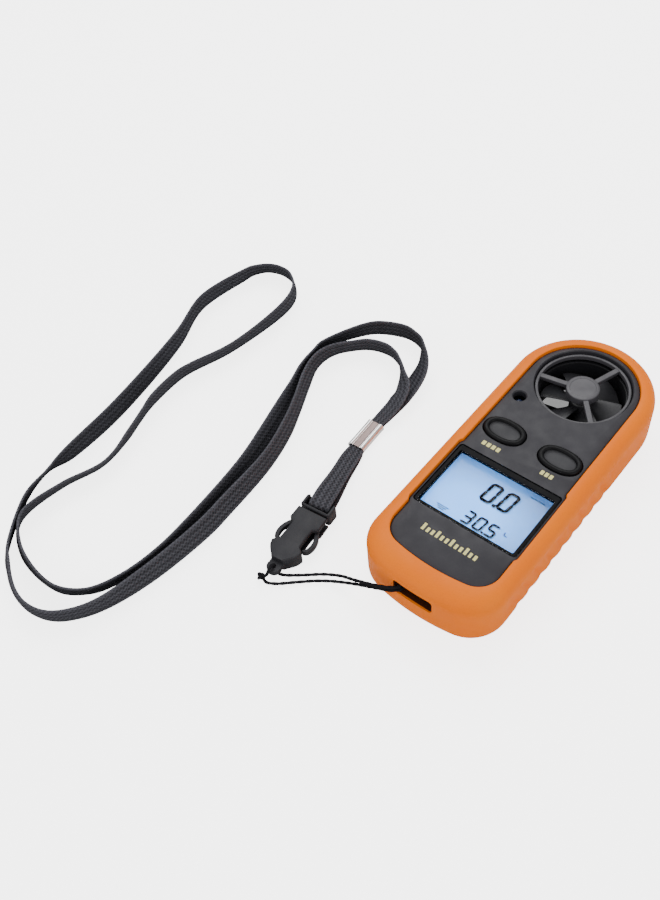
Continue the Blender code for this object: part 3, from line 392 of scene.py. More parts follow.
def make_materials():
    made = {name: moulded(name, *row) for name, row in PLASTICS.items()}
    made.update((name, metal(name, *row)) for name, row in METALS.items())
    made.update((name, printed(name, colour)) for name, colour in PRINTS.items())
    made["tape"] = woven("tape", (0.038, 0.038, 0.044))
    made["display"] = display_face("display")
    made["window"] = lens("window")
    boot, board = made["boot"], made["board"]
    boot.mottle(boot.noise(1100, 5), 0.66, 0.8, 0.2, (0.85, 0.36, 0.08))
    board.mottle(board.noise(420, 1, (1, 6, 1)), 0.5, 0.52, 0.5, (0.03, 0.24, 0.1))
    return {name: n.done() for name, n in made.items()}


# ---- camera, floor and light

def make_camera():
    """The viewing angle: above the meter's foot and to its right."""
    level_part = cos(CAMERA_ELEVATION)
    back = Vector((sin(CAMERA_AZIMUTH) * level_part, -cos(CAMERA_AZIMUTH) * level_part,
                   sin(CAMERA_ELEVATION)))
    side = Vector((0, 0, 1)).cross(back).normalized()
    up = back.cross(side)
    right = cos(CAMERA_ROLL) * side + sin(CAMERA_ROLL) * up
    top = -sin(CAMERA_ROLL) * side + cos(CAMERA_ROLL) * up
    data = bpy.data.cameras.new("camera")
    data.lens = CAMERA_LENS
    data.sensor_width = 36.0
    data.clip_start = 0.01
    data.clip_end = 20.0
    camera = show(bpy.data.objects.new("camera", data))
    camera.matrix_world = Matrix.Translation(CAMERA_AT) @ Matrix((right, top, back)).transposed().to_4x4()
    bpy.context.scene.camera = camera


def make_studio():
    """A floor that looks white without throwing light on the object, an even sky and the lights."""
    data = bpy.data.meshes.new("floor")
    data.from_pydata([(-3, -3, 0), (3, -3, 0), (3, 3, 0), (-3, 3, 0)], [], [(0, 1, 2, 3)])
    floor = show(bpy.data.objects.new("floor", data))
    floor.location.z = -FLOOR_DROP
    n = Nodes("floor", (0.9, 0.9, 0.9), 0.9, {"Emission Color": (1, 1, 1, 1)})
    away = n.new("VectorMath")
    away.operation = "DISTANCE"
    n.feed(away, {0: n.place, 1: (*FAN, 0)})
    # The floor under the fan lies in the meter's own shade.
    shade = n.ramp(away.outputs["Value"], *mm(14, 16), FLOOR_GLOW * SHADE_SHARE, FLOOR_GLOW)
    glow = n.maths("MULTIPLY", n.new("LightPath").outputs["Is Camera Ray"], shade)
    n.feed(n.shader, {"Emission Strength": glow})
    data.materials.append(n.done())
    world = bpy.data.worlds.new("studio")
    world.use_nodes = True
    sky = world.node_tree.nodes["Background"]
    sky.inputs["Color"].default_value = (1, 1, 1, 1)
    sky.inputs["Strength"].default_value = WORLD_LIGHT
    bpy.context.scene.world = world
    for name, place, size, power in LIGHTS:
        data = bpy.data.lights.new(name, "AREA")
        data.shape = "RECTANGLE"
        data.size, data.size_y = size
        data.energy = power
        light = show(bpy.data.objects.new(name, data))
        light.location = place
        light.rotation_euler = (Vector(AIM) - Vector(place)).to_track_quat("-Z", "Y").to_euler()


# ---- meshes

def mesh_object(name, bm):
    bmesh.ops.recalc_face_normals(bm, faces=bm.faces)
    data = bpy.data.meshes.new(name)
    bm.to_mesh(data)
    bm.free()
    return show(bpy.data.objects.new(name, data))


def smooth(data, sharp):
    data.shade_smooth()
    data.set_sharp_from_angle(angle=radians(sharp))


def add(name, bm, finish, replaces=None, body="meter", sharp=40):
    """Shade a mesh, give it its finish and let it ride on a body."""
    obj = mesh_object(name, bm)
    smooth(obj.data, sharp)
    for one in [finish] if isinstance(finish, str) else finish:
        obj.data.materials.append(FINISH[one])
    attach(obj, body)
    if replaces:
        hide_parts(replaces)
    return obj


def boolean(obj, meshes, how="DIFFERENCE"):
    """Cut or join a row of meshes, one after the other."""
    tools = []
    for k, bm in enumerate(meshes):
        tools.append(mesh_object(f"tool_{k}", bm))
        step = obj.modifiers.new(f"step_{k}", "BOOLEAN")
        step.operation = how
        step.solver = "EXACT"
        step.object = tools[-1]
    graph = bpy.context.evaluated_depsgraph_get()
    made = bpy.data.meshes.new_from_object(obj.evaluated_get(graph))
    obj.modifiers.clear()
    obj.data = made
    for tool in tools:
        bpy.data.objects.remove(tool, do_unlink=True)
    smooth(obj.data, 30)


def placed(bm, matrix):
    bmesh.ops.transform(bm, matrix=matrix, verts=bm.verts)
    return bm


def level(outline, z):
    return [(x, y, z) for x, y in outline]


def loft_mesh(rings, hoop=False, bm=None):
    """Rows of equal rings joined into a skin, closed by caps or into a hoop."""
    bm = bmesh.new() if bm is None else bm
    rows = [[bm.verts.new(p) for p in ring] for ring in rings]
    pairs = list(zip(rows, rows[1:]))
    if hoop:
        pairs.append((rows[-1], rows[0]))
    else:
        bm.faces.new(list(reversed(rows[0])))
        bm.faces.new(rows[-1])
    count = len(rings[0])
    for low, high in pairs:
        for i in range(count):
            j = (i + 1) % count
            bm.faces.new((low[i], low[j], high[j], high[i]))
    return bm


def flat_mesh(outline, z0, z1, bm=None):
    return loft_mesh([level(outline, z0), level(outline, z1)], bm=bm)


def disc_mesh(radius, centre, z0, z1, count=96):
    return flat_mesh(circle(radius, centre, count), z0, z1)


def quarter(steps):
    """Both falls of a quarter round of radius 1, from its start to its end."""
    return [(1 - sin(pi / 2 * i / steps), 1 - cos(pi / 2 * i / steps)) for i in range(steps + 1)]


def soft_plate_mesh(outline, z0, z1, edge):
    """A plate whose upper and lower edges are rounded inwards."""
    bend = [(edge * s, edge * c) for s, c in quarter(3)]
    rings = [(inset, z0 + rise) for inset, rise in bend]
    rings += [(inset, z1 - rise) for inset, rise in reversed(bend)]
    return loft_mesh([level(shrink(outline, inset), z) for inset, z in rings])


def corners(points):
    """Each point of a closed line, between the one before and the one after it."""
    rows = [Vector(p) for p in points]
    return zip(rows[-1:] + rows[:-1], rows, rows[1:] + rows[:1])


def shrink(outline, inset):
    """Move each point of an anticlockwise outline inwards along its own normal."""
    moved = []
    for before, here, after in corners(outline):
        a = (here - before).normalized()
        b = (after - here).normalized()
        normal = Vector((-(a.y + b.y), a.x + b.x))
        moved.append(here + normal * (inset * 2 / max(normal.length, 0.3) ** 2))
    return moved


def turned_mesh(profile, centre, sides=96, hoop=False):
    """A profile of (radius, z) turned about an upright axis."""
    return loft_mesh([[(centre[0] + max(r, LEAST_RADIUS) * cos(a),
                        centre[1] + max(r, LEAST_RADIUS) * sin(a), z) for a in turns(sides)]
                      for r, z in profile], hoop)


def rounded_profile(points, radius):
    """Round every corner of a closed profile of (r, z)."""
    made = []
    for before, here, after in corners(points):
        a = before - here
        b = after - here
        reach = min(radius, a.length * 0.45, b.length * 0.45)
        start = here + a.normalized() * reach
        end = here + b.normalized() * reach
        for k in range(4):
            t = k / 3
            made.append(tuple((1 - t) ** 2 * start + 2 * t * (1 - t) * here + t ** 2 * end))
    return made


def arc(centre, radius, start, end, count):
    steps = [start + (end - start) * i / count for i in range(count + 1)]
    return [(centre[0] + radius * cos(a), centre[1] + radius * sin(a)) for a in steps]


def turns(count):
    """A whole turn in even steps."""
    return [2 * pi * i / count for i in range(count)]


def circle(radius, centre, count=96):
    return arc(centre, radius, 0, 2 * pi * (1 - 1 / count), count - 1)


def rounded_box(half_x, half_y, corner, centre=(0, 0), count=8):
    points = []
    for k, (sx, sy) in enumerate([(1, 1), (-1, 1), (-1, -1), (1, -1)]):
        middle = (centre[0] + sx * (half_x - corner), centre[1] + sy * (half_y - corner))
        points += arc(middle, corner, k * pi / 2, (k + 1) * pi / 2, count)
    return points


def oval(half_x, half_y, count=72, bend_x=2 / 2.3, bend_y=2 / 2.3):
    """An ellipse, the squarer the smaller its bends are."""
    return [(half_x * copysign(abs(cos(a)) ** bend_x, cos(a)),
             half_y * copysign(abs(sin(a)) ** bend_y, sin(a))) for a in turns(count)]


def block_mesh(size, matrix):
    bm = bmesh.new()
    bmesh.ops.create_cube(bm, size=1.0)
    bmesh.ops.scale(bm, vec=Vector(size), verts=bm.verts)
    return placed(bm, matrix)


def body_outline(side, foot=None, notch=0.0, step=1.2 * MM, ribs=None):
    """The meter's plan, inset from the boot's outside. Ribs give a further inset along the sides."""
    foot = side if foot is None else foot
    half = BODY_WIDTH / 2 - side
    corner = FOOT_CORNER - side
    reach = half - corner * (1 - sin(FOOT_SLOPE))
    bow = tan(FOOT_SLOPE) / (2 * reach)
    low = foot - BODY_LENGTH / 2
    centre_y = low + bow * reach ** 2 + corner * cos(FOOT_SLOPE)
    right = [(reach * i / 14, low + bow * (reach * i / 14) ** 2) for i in range(1, 14)]
    right += arc((half - corner, centre_y), corner, FOOT_SLOPE - pi / 2, 0, 18)
    start = -36.0 * MM
    count = round((HEAD_Y - start) / step)
    for i in range(count):
        y = start + (HEAD_Y - start) * i / count
        near = abs(y - WINDOW_Y) - WINDOW_HALF[1]
        wide = notch * unit((1.4 * MM - near) / (0.9 * MM))
        right.append((half + wide - (ribs(y) if ribs else 0.0), y))
    right += arc((0, HEAD_Y), half, 0, pi / 2, 30)[:-1]
    left = [(-x, y) for x, y in reversed(right)]
    return [(0, low)] + right + [(0, HEAD_Y + half)] + left


def body_ring(z, *plan, **more):
    return level(body_outline(*plan, **more), z)


def body_mesh(*rows):
    return loft_mesh([body_ring(*row) for row in rows])


# ---- boot

def rib_inset(z):
    """How far the slanting finger grips fall back at this height."""
    tall = min(unit((z - 1.5 * MM) / (2.0 * MM)), max(0.0, (RIB_TOP - z) / (4.0 * MM)))

    def inset(y):
        ends = min(unit((y - RIB_RUN[0]) / (4 * MM)), max(0.0, (RIB_RUN[1] - y) / (4 * MM)))
        turn = (y + RIB_SLANT * (z - 9 * MM)) / RIB_PITCH
        wave = 0.5 - 0.5 * cos(2 * pi * turn)
        return RIB_DEPTH * tall * ends * wave ** 2.5

    return inset


def make_boot():
    rows = [(EDGE_REAR * c, EDGE_REAR * s, EDGE_REAR * s) for s, c in quarter(8)]
    low = rows[-1][0]
    high = BODY_HEIGHT - EDGE_TOP
    rows += [(low + (high - low) * i / 16, 0.0, 0.0) for i in range(1, 16)]
    rows += [(BODY_HEIGHT - EDGE_TOP * s, EDGE_TOP * c, EDGE_TOP_FOOT * c) for s, c in quarter(12)]
    rings = [body_ring(z, side, foot, step=SIDE_STEP, ribs=rib_inset(z)) for z, side, foot in rows]
    lip = SHOULDER_Z + 0.3 * MM
    edge = [(BODY_HEIGHT - 0.02 * MM, 0.72), (BODY_HEIGHT - 0.12 * MM, 0.92),
            (BODY_HEIGHT - 0.35 * MM, 1.0), (lip, 1.0)]
    for z, share in edge:
        rings.append(body_ring(z, EDGE_TOP + (LIP_INSET[0] - EDGE_TOP) * share,
                               EDGE_TOP_FOOT + (LIP_INSET[1] - EDGE_TOP_FOOT) * share,
                               NOTCH * share, SIDE_STEP))
    for z, side in ((lip, WALL), (FLOOR_Z, WALL), (FLOOR_Z, REAR_INSET), (0, REAR_INSET)):
        rings.append(body_ring(z, side, step=SIDE_STEP))
    boot = add("grip_boot", loft_mesh(rings, hoop=True), "boot", "rubber_boot")
    boolean(boot, [slot_mesh()])
    # Thin dark sheet just inside the slot's walls: painted shade inside the slot.
    rings = []
    for y, gap in ((-51.9, 0.06), (-51.9, 0.3), (-46.3, 0.3), (-46.3, 0.06)):
        outline = rounded_box(*(half - gap * MM for half in SLOT_HALF), 1.1 * MM, count=5)
        rings.append([(x, y * MM, SLOT_Z + z) for x, z in outline])
    add("slot_liner", loft_mesh(rings, hoop=True), "slot_liner", sharp=30)


def slot_mesh():
    """The lanyard slot through the foot."""
    bm = flat_mesh(rounded_box(*SLOT_HALF, 1.2 * MM, count=5), *mm(-3.6, 3.6))
    return placed(bm, turned_at((0, -BODY_LENGTH / 2 + 2.8 * MM, SLOT_Z), pi / 2, "X"))


# ---- case

def make_face():
    """The front: a chamfered plate with the window's seat and the openings of keys, fan and air hole."""
    rows = [(9.2 * MM, CASE_INSET), (SHOULDER_Z, CASE_INSET)]
    for z, more in ((SHOULDER_Z, 0), (FACE_Z - 0.35 * MM, 0), (FACE_Z - 0.1 * MM, 0.08), (FACE_Z, 0.35)):
        rows.append((z, *(side + more * MM for side in FACE_INSET), NOTCH))
    face = add("face", body_mesh(*rows), ["case", "bezel"], "front_case")
    window = (0, WINDOW_Y)
    hollow = CASE_INSET + 1.8 * MM
    fan_cut = [mm(14.2, 12), (14.2 * MM, FACE_Z - 0.3 * MM), (14.45 * MM, FACE_Z), mm(14.7, 20)]
    air_cut = [mm(1.95, 12), (1.95 * MM, FACE_Z - 0.3 * MM), (2.3 * MM, FACE_Z + 0.02 * MM),
               mm(2.6, 20)]
    seat = rounded_box(*(half + 0.3 * MM for half in WINDOW_HALF), 1.0 * MM, window)
    tools = [body_mesh((8 * MM, hollow), (14.3 * MM, hollow)),
             flat_mesh(seat, FACE_Z - 1.2 * MM, 20 * MM),
             flat_mesh(rounded_box(*mm(15.1, 10.25, 0.5), window), *mm(12, 20)),
             turned_mesh(fan_cut, FAN, 128), turned_mesh(air_cut, AIR_HOLE, 48), slot_mesh()]
    for side in (-1, 1):
        hole = [(x + side * 9 * MM, y + KEY_Y) for x, y in oval(*mm(6.7, 4.5))]
        tools.append(flat_mesh(hole, *mm(12, 20)))
    boolean(face, tools)
    # The window's seat and its walls are glossy black: partly the bezel's own black, partly painted shade
    # in the recess under the lens.
    for side in face.data.polygons:
        x, y, z = side.center
        if (abs(x) < WINDOW_HALF[0] + 0.4 * MM and abs(y - WINDOW_Y) < WINDOW_HALF[1] + 0.4 * MM
                and 13.5 * MM < z < FACE_Z - 0.05 * MM):
            side.material_index = 1


def make_back():
    """The rear half, with the battery well, the fan's rear opening and the screws' seats."""
    lip = REAR_INSET + 0.3 * MM
    ledge = FLOOR_Z + 0.3 * MM
    shell = body_mesh((REAR_Z, lip + 0.3 * MM), (REAR_Z + 0.25 * MM, lip), (ledge, lip),
                      (ledge, CASE_INSET), (8.9 * MM, CASE_INSET))
    back = add("back_shell", shell, "case", "rear_case")
    hollow = CASE_INSET + 1.8 * MM
    boolean(back, [body_mesh((FLOOR_Z, lip + 1.5 * MM), (4.1 * MM, hollow), (10 * MM, hollow))])
    boolean(back, [disc_mesh(13.3 * MM, WELL, REAR_Z + 0.02 * MM, 6.0 * MM)], "UNION")
    tools = [disc_mesh(radius * MM, centre, *mm(low, high)) for radius, centre, low, high in
             ((12.3, WELL, -1, 2.6), (10.4, WELL, 0, 4), (11.3, WELL, 3.1, 8), (13.7, FAN, -1, 5))]
    tools.append(slot_mesh())
    for place in SCREWS:
        tools.append(disc_mesh(1.3 * MM, place, *mm(-1, 5), 24))
        tools.append(disc_mesh(2.4 * MM, place, *mm(-1, 1.4), 36))
    # Grip lines pressed into the back between the well and the foot.
    for k in range(5):
        line = rounded_box(*mm(7.0, 0.35, 0.34), mm(0, -33.2 - 1.9 * k), 4)
        tools.append(flat_mesh(line, -1 * MM, REAR_Z + 0.3 * MM))
    boolean(back, tools)


def make_cap():
    """Battery cap: coin slot, a ring of small notches and a rounded edge."""
    profile = [mm(*row) for row in ((0, 2.25), (12.0, 2.25), (12.0, 1.95), (10.9, 1.95),
                                    (10.9, 0.75), (12.0, 0.75), (11.95, 0.52))]
    sunk = REAR_Z + 0.25 * MM
    profile += [(11.7 * MM, REAR_Z), (9.4 * MM, REAR_Z), (9.2 * MM, sunk), (8.8 * MM, sunk),
                (8.6 * MM, REAR_Z), (0, REAR_Z)]
    cap = add("coin_cap", turned_mesh(profile, WELL), "case", "battery_cap", "cap")
    tools = [flat_mesh(rounded_box(*mm(7, 0.9, 0.5), WELL), -1 * MM, REAR_Z + 0.9 * MM)]
    for a in turns(24):
        notch = (10.4 * MM * cos(a), 10.4 * MM * sin(a) - 17 * MM, REAR_Z)
        tools.append(block_mesh(mm(1.1, 0.5, 0.5), turned_at(notch, a)))
    boolean(cap, tools)


# ---- fan

def hoop_mesh(outer, inner, low, high, edge):
    """A ring about the fan's axis with rounded edges."""
    ring = [(outer, low), (outer, high), (inner, high), (inner, low)]
    return turned_mesh(rounded_profile(ring, edge), FAN, 120, True)


def make_grille(name, replaces, outer, inner, low, high, hub_low, hub_high, socket):
    """Ring, three spokes and a hub with a raised rim, all with softened edges."""
    made = add(name, hoop_mesh(outer, inner, low, high, 0.3 * MM), "grille", replaces)
    start, reach = mm(2.6, 13.35)
    middle = (start + reach) / 2
    joins = []
    for angle in (70, 190, 310):
        a = radians(angle)
        bm = soft_plate_mesh(rounded_box((reach - start) / 2, *mm(0.8, 0.2), count=2),
                             low + 0.12 * MM, high - 0.1 * MM, 0.18 * MM)
        joins.append(placed(bm, turned_at((middle * cos(a), FAN_Y + middle * sin(a), 0), a)))
    sunk = hub_high - 0.1 * MM
    hub = [(0.0, hub_low), (4.6 * MM, hub_low), (4.9 * MM, hub_low + 0.3 * MM),
           (4.9 * MM, hub_high - 0.35 * MM), (4.8 * MM, hub_high - 0.12 * MM), (4.55 * MM, hub_high),
           (3.9 * MM, hub_high), (3.75 * MM, sunk), (0.0, sunk)]
    joins.append(turned_mesh(hub, FAN, 72))
    boolean(made, joins, "UNION")
    boolean(made, [disc_mesh(1.9 * MM, FAN, *socket, 32)])


def make_duct():
    add("air_duct", hoop_mesh(*mm(13.6, 12.6, 2.8, 13.0, 0.2)), "dark_plastic", "duct_sleeve")


def make_blades():
    """Six curved blades that twist from the hub to the tip."""
    profile = [mm(*row) for row in ((0, 5.0), (3.1, 5.0), (3.4, 5.3), (3.4, 10.8), (3.1, 11.1),
                                    (0, 11.1))]
    hub = add("fan_rotor", turned_mesh(profile, FAN, 48), "blade", "impeller", "rotor")
    blades = []
    for turn in turns(6):
        rings = []
        for i in range(13):
            r = (2.6 + 9.25 * i / 12) * MM
            share = i / 12
            pitch = radians(41 - 21 * share)
            chord = (6.2 + 5.8 * share) * MM
            thick = (0.9 - 0.4 * share) * MM
            ring = []
            for a in turns(16):
                u = chord / 2 * cos(a)
                bow = 0.5 * MM * (1 - (2 * u / chord) ** 2)
                w = thick / 2 * sin(a) * (0.35 + 0.65 * abs(sin(a))) + bow - 0.25 * MM
                across = u * cos(pitch) - w * sin(pitch)
                z = 8.0 * MM + u * sin(pitch) + w * cos(pitch)
                z = min(11.05 * MM, max(5.05 * MM, z))
                angle = turn + across / r
                ring.append((r * cos(angle), FAN_Y + r * sin(angle), z))
            rings.append(ring)
        blades.append(loft_mesh(rings))
    boolean(hub, blades, "UNION")
    boolean(hub, [disc_mesh(1.05 * MM, FAN, *mm(0, 16), 24)])


# ---- display and keys

def make_window():
    outline = rounded_box(*WINDOW_HALF, 0.8 * MM, (0, WINDOW_Y))
    add("clear_lens", soft_plate_mesh(outline, WINDOW_LOW[2], WINDOW_HIGH[2], 0.25 * MM),
        "window", "lcd_window")
    # Black border printed on the lens; its extra width along the upper edge is painted shade from the
    # opening's upper wall.
    outer = rounded_box(*(half - 0.1 * MM for half in WINDOW_HALF), 0.7 * MM, (0, WINDOW_Y))
    inner = rounded_box(WINDOW_HALF[0] - 1.0 * MM, WINDOW_HALF[1] - 1.25 * MM, 0.4 * MM,
                        (0, WINDOW_Y - 0.55 * MM))
    low = WINDOW_HIGH[2] + 0.02 * MM
    high = low + 0.03 * MM
    rings = [level(outer, low), level(outer, high), level(inner, high), level(inner, low)]
    add("window_border_and_shade", loft_mesh(rings, hoop=True), "bezel", sharp=20)


SEVEN = {"0": "abcdef", "3": "abcdg", "5": "acdfg"}
SLANT = 0.12
PRINT_THICK = 0.02 * MM


def append_bar(bm, size, place, z, thick=PRINT_THICK):
    """A small printed bar, from its half sizes and corner and its place in mm."""
    flat_mesh(rounded_box(*mm(*size), mm(*place), 2), z, z + thick, bm)


def append_number(bm, text, place, width, height, stroke, pitch, z):
    """Seven-segment numerals, each bar a six-sided plate with pointed ends."""
    x, y = place
    bars = {"a": ((0, height / 2), 0, width), "d": ((0, -height / 2), 0, width), "g": ((0, 0), 0, width)}
    for key, side, up in (("b", 1, 1), ("c", 1, -1), ("f", -1, 1), ("e", -1, -1)):
        bars[key] = ((side * width / 2, up * height / 4), 1, height / 2)
    tip = stroke / 2
    for letter in text:
        if letter == ".":
            dot = rounded_box(stroke * 0.55, stroke * 0.55, stroke * 0.2,
                              (x - pitch * 0.5, y - height / 2), 2)
            flat_mesh(dot, z, z + PRINT_THICK, bm)
            continue
        for key in SEVEN[letter]:
            (cx, cy), upright, length = bars[key]
            half = length / 2 + stroke * 0.12
            points = [(-half, 0), (-half + tip, -tip), (half - tip, -tip), (half, 0), (half - tip, tip),
                      (-half + tip, tip)]
            if upright:
                points = [(-b, a) for a, b in points]
            bar = [(x + cx + a + SLANT * (cy + b), y + cy + b) for a, b in points]
            flat_mesh(bar, z, z + PRINT_THICK, bm)
        x += pitch


def make_digits():
    """Two numbers and a few plain strokes on the display, with their faint shadows behind."""
    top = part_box("lcd_glass")[1][2]
    for name, finish, z, shift in (
            ("digit_shadows", "segment_shadow", top + 0.01 * MM, mm(0.35, -0.3)),
            ("digits", "segment", top + 0.05 * MM, (0, 0))):
        bm = bmesh.new()
        for text, (x, y), sizes in (("0.0", mm(-0.7, -14.5), mm(2.9, 6.2, 0.95, 5.3)),
                                    ("30.5", mm(-1.4, -24.7), mm(2.2, 4.0, 0.62, 3.75))):
            append_number(bm, text, (x + shift[0], y + shift[1]), *sizes, z)
        if finish == "segment":
            for k in range(4):
                append_bar(bm, (0.4, 0.16, 0.1), (8.9 + 1.2 * k, -9.4), z)
            append_bar(bm, (0.16, 0.5, 0.1), (9.4, -23.6), z)
            append_bar(bm, (0.5, 0.14, 0.1), (10.0, -24.1), z)
            for k in range(3):
                append_bar(bm, (2.0 - 0.5 * k, 0.13, 0.1), (-9.0, -25.7 - 0.55 * k), z)
        add(name, bm, finish, sharp=20)


def make_marks():
    """Generic printed marks where the face carries words: bars at the keys, a scale under the window."""
    bm = bmesh.new()
    bars = [((0.55, 0.75, 0.15), (-11.4 + 1.55 * k, -2.4)) for k in range(4)]
    bars += [((0.5, 0.75, 0.15), (7.3 + 1.4 * k, -2.0)) for k in range(3)]
    for k in range(12):
        tall = 1.15 if k % 3 == 0 else 0.8
        bars.append(((0.42, tall, 0.12), (-8.25 + 1.5 * k, -36.6 + tall)))
    for size, place in bars:
        append_bar(bm, size, place, FACE_Z + 0.01 * MM, 0.03 * MM)
    add("face_marks", bm, "print", sharp=20)


def make_key(name, node, body, x):
    """A key: a thick rolled rim round a dished middle, then its flange and stem behind the face."""
    hx, hy = 6.4, 4.2
    levels = [(2.0, 2.0, 10.9), (2.0, 2.0, 13.2), (hx + 0.7, hy + 0.7, 13.2), (hx + 0.7, hy + 0.7, 14.0),
              (hx, hy, 14.0), (hx, hy, 16.45)]
    for i in range(1, 13):
        a = pi * i / 12
        run = 0.85 * (1 - cos(a))
        levels.append((hx - run, hy - run * 0.95, 16.45 + 0.85 * sin(a) ** 0.8))
    levels += [(hx - 2.0, hy - 1.85, 16.32), (hx - 2.6, hy - 2.3, 16.26), (2.2, 1.1, 16.2),
               (0.9, 0.45, 16.18)]
    rings = [[(px + x, py + KEY_Y, z * MM) for px, py in oval(a * MM, b * MM)] for a, b, z in levels]
    key = add(name, loft_mesh(rings), ["key_rim", "key_middle"], node, body)
    for face in key.data.polygons:
        reach = (abs((face.center.x - x) / (4.75 * MM)) ** 2.3
                 + abs((face.center.y - KEY_Y) / (2.6 * MM)) ** 2.3)
        if face.center.z > 16 * MM and reach < 1:
            face.material_index = 1


# ---- tape, crimp, buckle and cord

def smooth_path(points, step):
    """Even steps along a centripetal Catmull-Rom curve through the given rows."""
    rows = [Vector(p) for p in points]
    rows = [2 * rows[0] - rows[1]] + rows + [2 * rows[-1] - rows[-2]]
    fine = []
    for i in range(1, len(rows) - 2):
        p0, p1, p2, p3 = rows[i - 1:i + 3]
        t1 = (p1 - p0).length ** 0.5
        t2 = t1 + (p2 - p1).length ** 0.5
        t3 = t2 + (p3 - p2).length ** 0.5
        for k in range(40):
            t = t1 + (t2 - t1) * k / 40
            share = (t - t1) / (t2 - t1)
            a2 = p1.lerp(p2, share)
            b1 = p0.lerp(p1, t / t1).lerp(a2, t / t2)
            b2 = a2.lerp(p2.lerp(p3, (t - t2) / (t3 - t2)), (t - t1) / (t3 - t1))
            fine.append(b1.lerp(b2, share))
    fine.append(rows[-2])
    total = path_length(fine)
    count = max(2, round(total / step))
    even = [fine[0]]
    walked = 0.0
    for a, b in zip(fine, fine[1:]):
        piece = (b - a).length
        while len(even) < count and walked + piece >= total * len(even) / count:
            even.append(a.lerp(b, (total * len(even) / count - walked) / piece))
        walked += piece
    return even + [fine[-1]]


def path_length(points):
    return sum((b - a).length for a, b in zip(points, points[1:]))


def plan_step(path, i):
    """The way ahead at one point of a path, in its first two measures."""
    return path[min(i + 1, len(path) - 1)].xy - path[max(i - 1, 0)].xy


def tape_mesh(stations, folded=False):
    """Skin a tape along stations of (point, width direction, thickness direction, scale).

    Its two faces carry a braid, and a folded tape has lengthwise pleats as well.
    """
    bm = bmesh.new()
    uv = bm.loops.layers.uv.new("tape")
    section = oval(STRAP_WIDTH / 2 - 0.12 * MM, STRAP_THICK / 2 - 0.1 * MM, 48 if folded else 24,
                   0.55, 0.45)
    rows = []
    walked = 0.0
    last = stations[0][0]
    for point, wide, thick, scale in stations:
        walked += (point - last).length
        last = point
        ring = []
        for w, t in section:
            bulge = BRAID_DEPTH * max(sin(2 * pi * (walked / BRAID_PITCH + side * w / BRAID_ACROSS))
                                      for side in (1, -1))
            if folded:
                bulge -= PLEAT_DEPTH * (0.5 + 0.5 * cos(2 * pi * w / PLEAT_PITCH))
            bulge *= (1 if t > 0 else -1) * min(1.0, abs(t) / (0.3 * MM))
            place = point + wide * w * scale + thick * (t + bulge) * max(scale, 0.45)
            ring.append((bm.verts.new(place), walked, w))
        rows.append(ring)
    count = len(section)
    for low, high in zip(rows, rows[1:]):
        for i in range(count):
            j = (i + 1) % count
            corners = (low[i], low[j], high[j], high[i])
            face = bm.faces.new([c[0] for c in corners])
            for loop, (_, u, v) in zip(face.loops, corners):
                loop[uv].uv = (u, v)
    bm.faces.new([c[0] for c in reversed(rows[0])])
    bm.faces.new([c[0] for c in rows[-1]])
    return bm


def make_neck_tape():
    path = smooth_path([(x, y, lean * MM, lift) for x, y, lean, lift in STRAP_ROUTE], 0.45 * MM)
    walked = [0.0]
    for a, b in zip(path, path[1:]):
        walked.append(walked[-1] + (b.xy - a.xy).length)
    stations = []
    for i, (p, s) in enumerate(zip(path, walked)):
        lean = radians(p.z / MM)
        near = min(s, walked[-1] - s)
        scale = min(1.0, GATHER + (1 - GATHER) * max(0.0, near - GATHER_HOLD) / GATHER_RUN)
        half = (STRAP_WIDTH - STRAP_THICK) / 2 * scale
        z = REST_LIFT + abs(sin(lean)) * half + STRAP_THICK / 2 * scale + max(0.0, p.w)
        along = Vector((*plan_step(path, i), 0)).normalized()
        side = Vector((-along.y, along.x, 0))
        wide = side * cos(lean) + Vector((0, 0, 1)) * sin(lean)
        stations.append((Vector((p.x, p.y, z)), wide, along.cross(wide).normalized(), scale))
    tape = add("neck_tape", tape_mesh(stations), "tape", "neck_strap", "plug", 60)
    centre = [station[0] for station in stations]
    return tape, centre[::10] + [centre[-1]]


def make_tail():
    """The short tape between crimp and buckle, folded round the plug's bar."""
    start = Vector(TAIL_FROM)
    bound = Vector((cos(CRIMP_TURN), sin(CRIMP_TURN)))
    run = Vector(CRIMP_AT) - bound * (CRIMP_SIZE[0] / 2 - 1.8 * MM) - start
    length = run.length
    mid = BUCKLE_THICK / 2 + 0.2 * MM
    fold = [((0.55 + 1.05 * sin(pi * i / 8)) * MM, mid - 1.95 * MM * cos(pi * i / 8)) for i in range(9)]
    middle = CRIMP_SIZE[2] / 2 + REST_LIFT
    # Distance along the tail, height and share of the tape's size, on the lower and the upper half.
    places = (-length, -length + 1.7 * MM, -length + 3.6 * MM, -length * 0.75, -length / 2, -4 * MM)
    sizes = (0.56, 0.59, 0.71, 0.76, 0.76, 0.87)
    lower = (middle - 0.42 * MM,) * 3 + mm(1.15, 1.1, 0.78)
    upper = (middle + 0.42 * MM,) * 3 + mm(2.6, 3.35, 4.5)
    rows = list(zip(places, lower, sizes)) + [(x, z, 0.85) for x, z in fold]
    rows += reversed(list(zip(places, upper, sizes)))
    path = smooth_path([(x, z, scale * MM) for x, z, scale in rows], 0.4 * MM)
    away = -run.normalized()
    side = Vector((-away.y, away.x, 0))
    stations = []
    for i, p in enumerate(path):
        ahead = plan_step(path, i)
        along = Vector((away.x * ahead.x, away.y * ahead.x, ahead.y)).normalized()
        point = Vector((start.x + away.x * p.x, start.y + away.y * p.x, p.y))
        stations.append((point, side, along.cross(side).normalized(), p.z / MM))
    return add("tail_tape", tape_mesh(stations, folded=True), "tape", "strap_tail", "plug", 60)


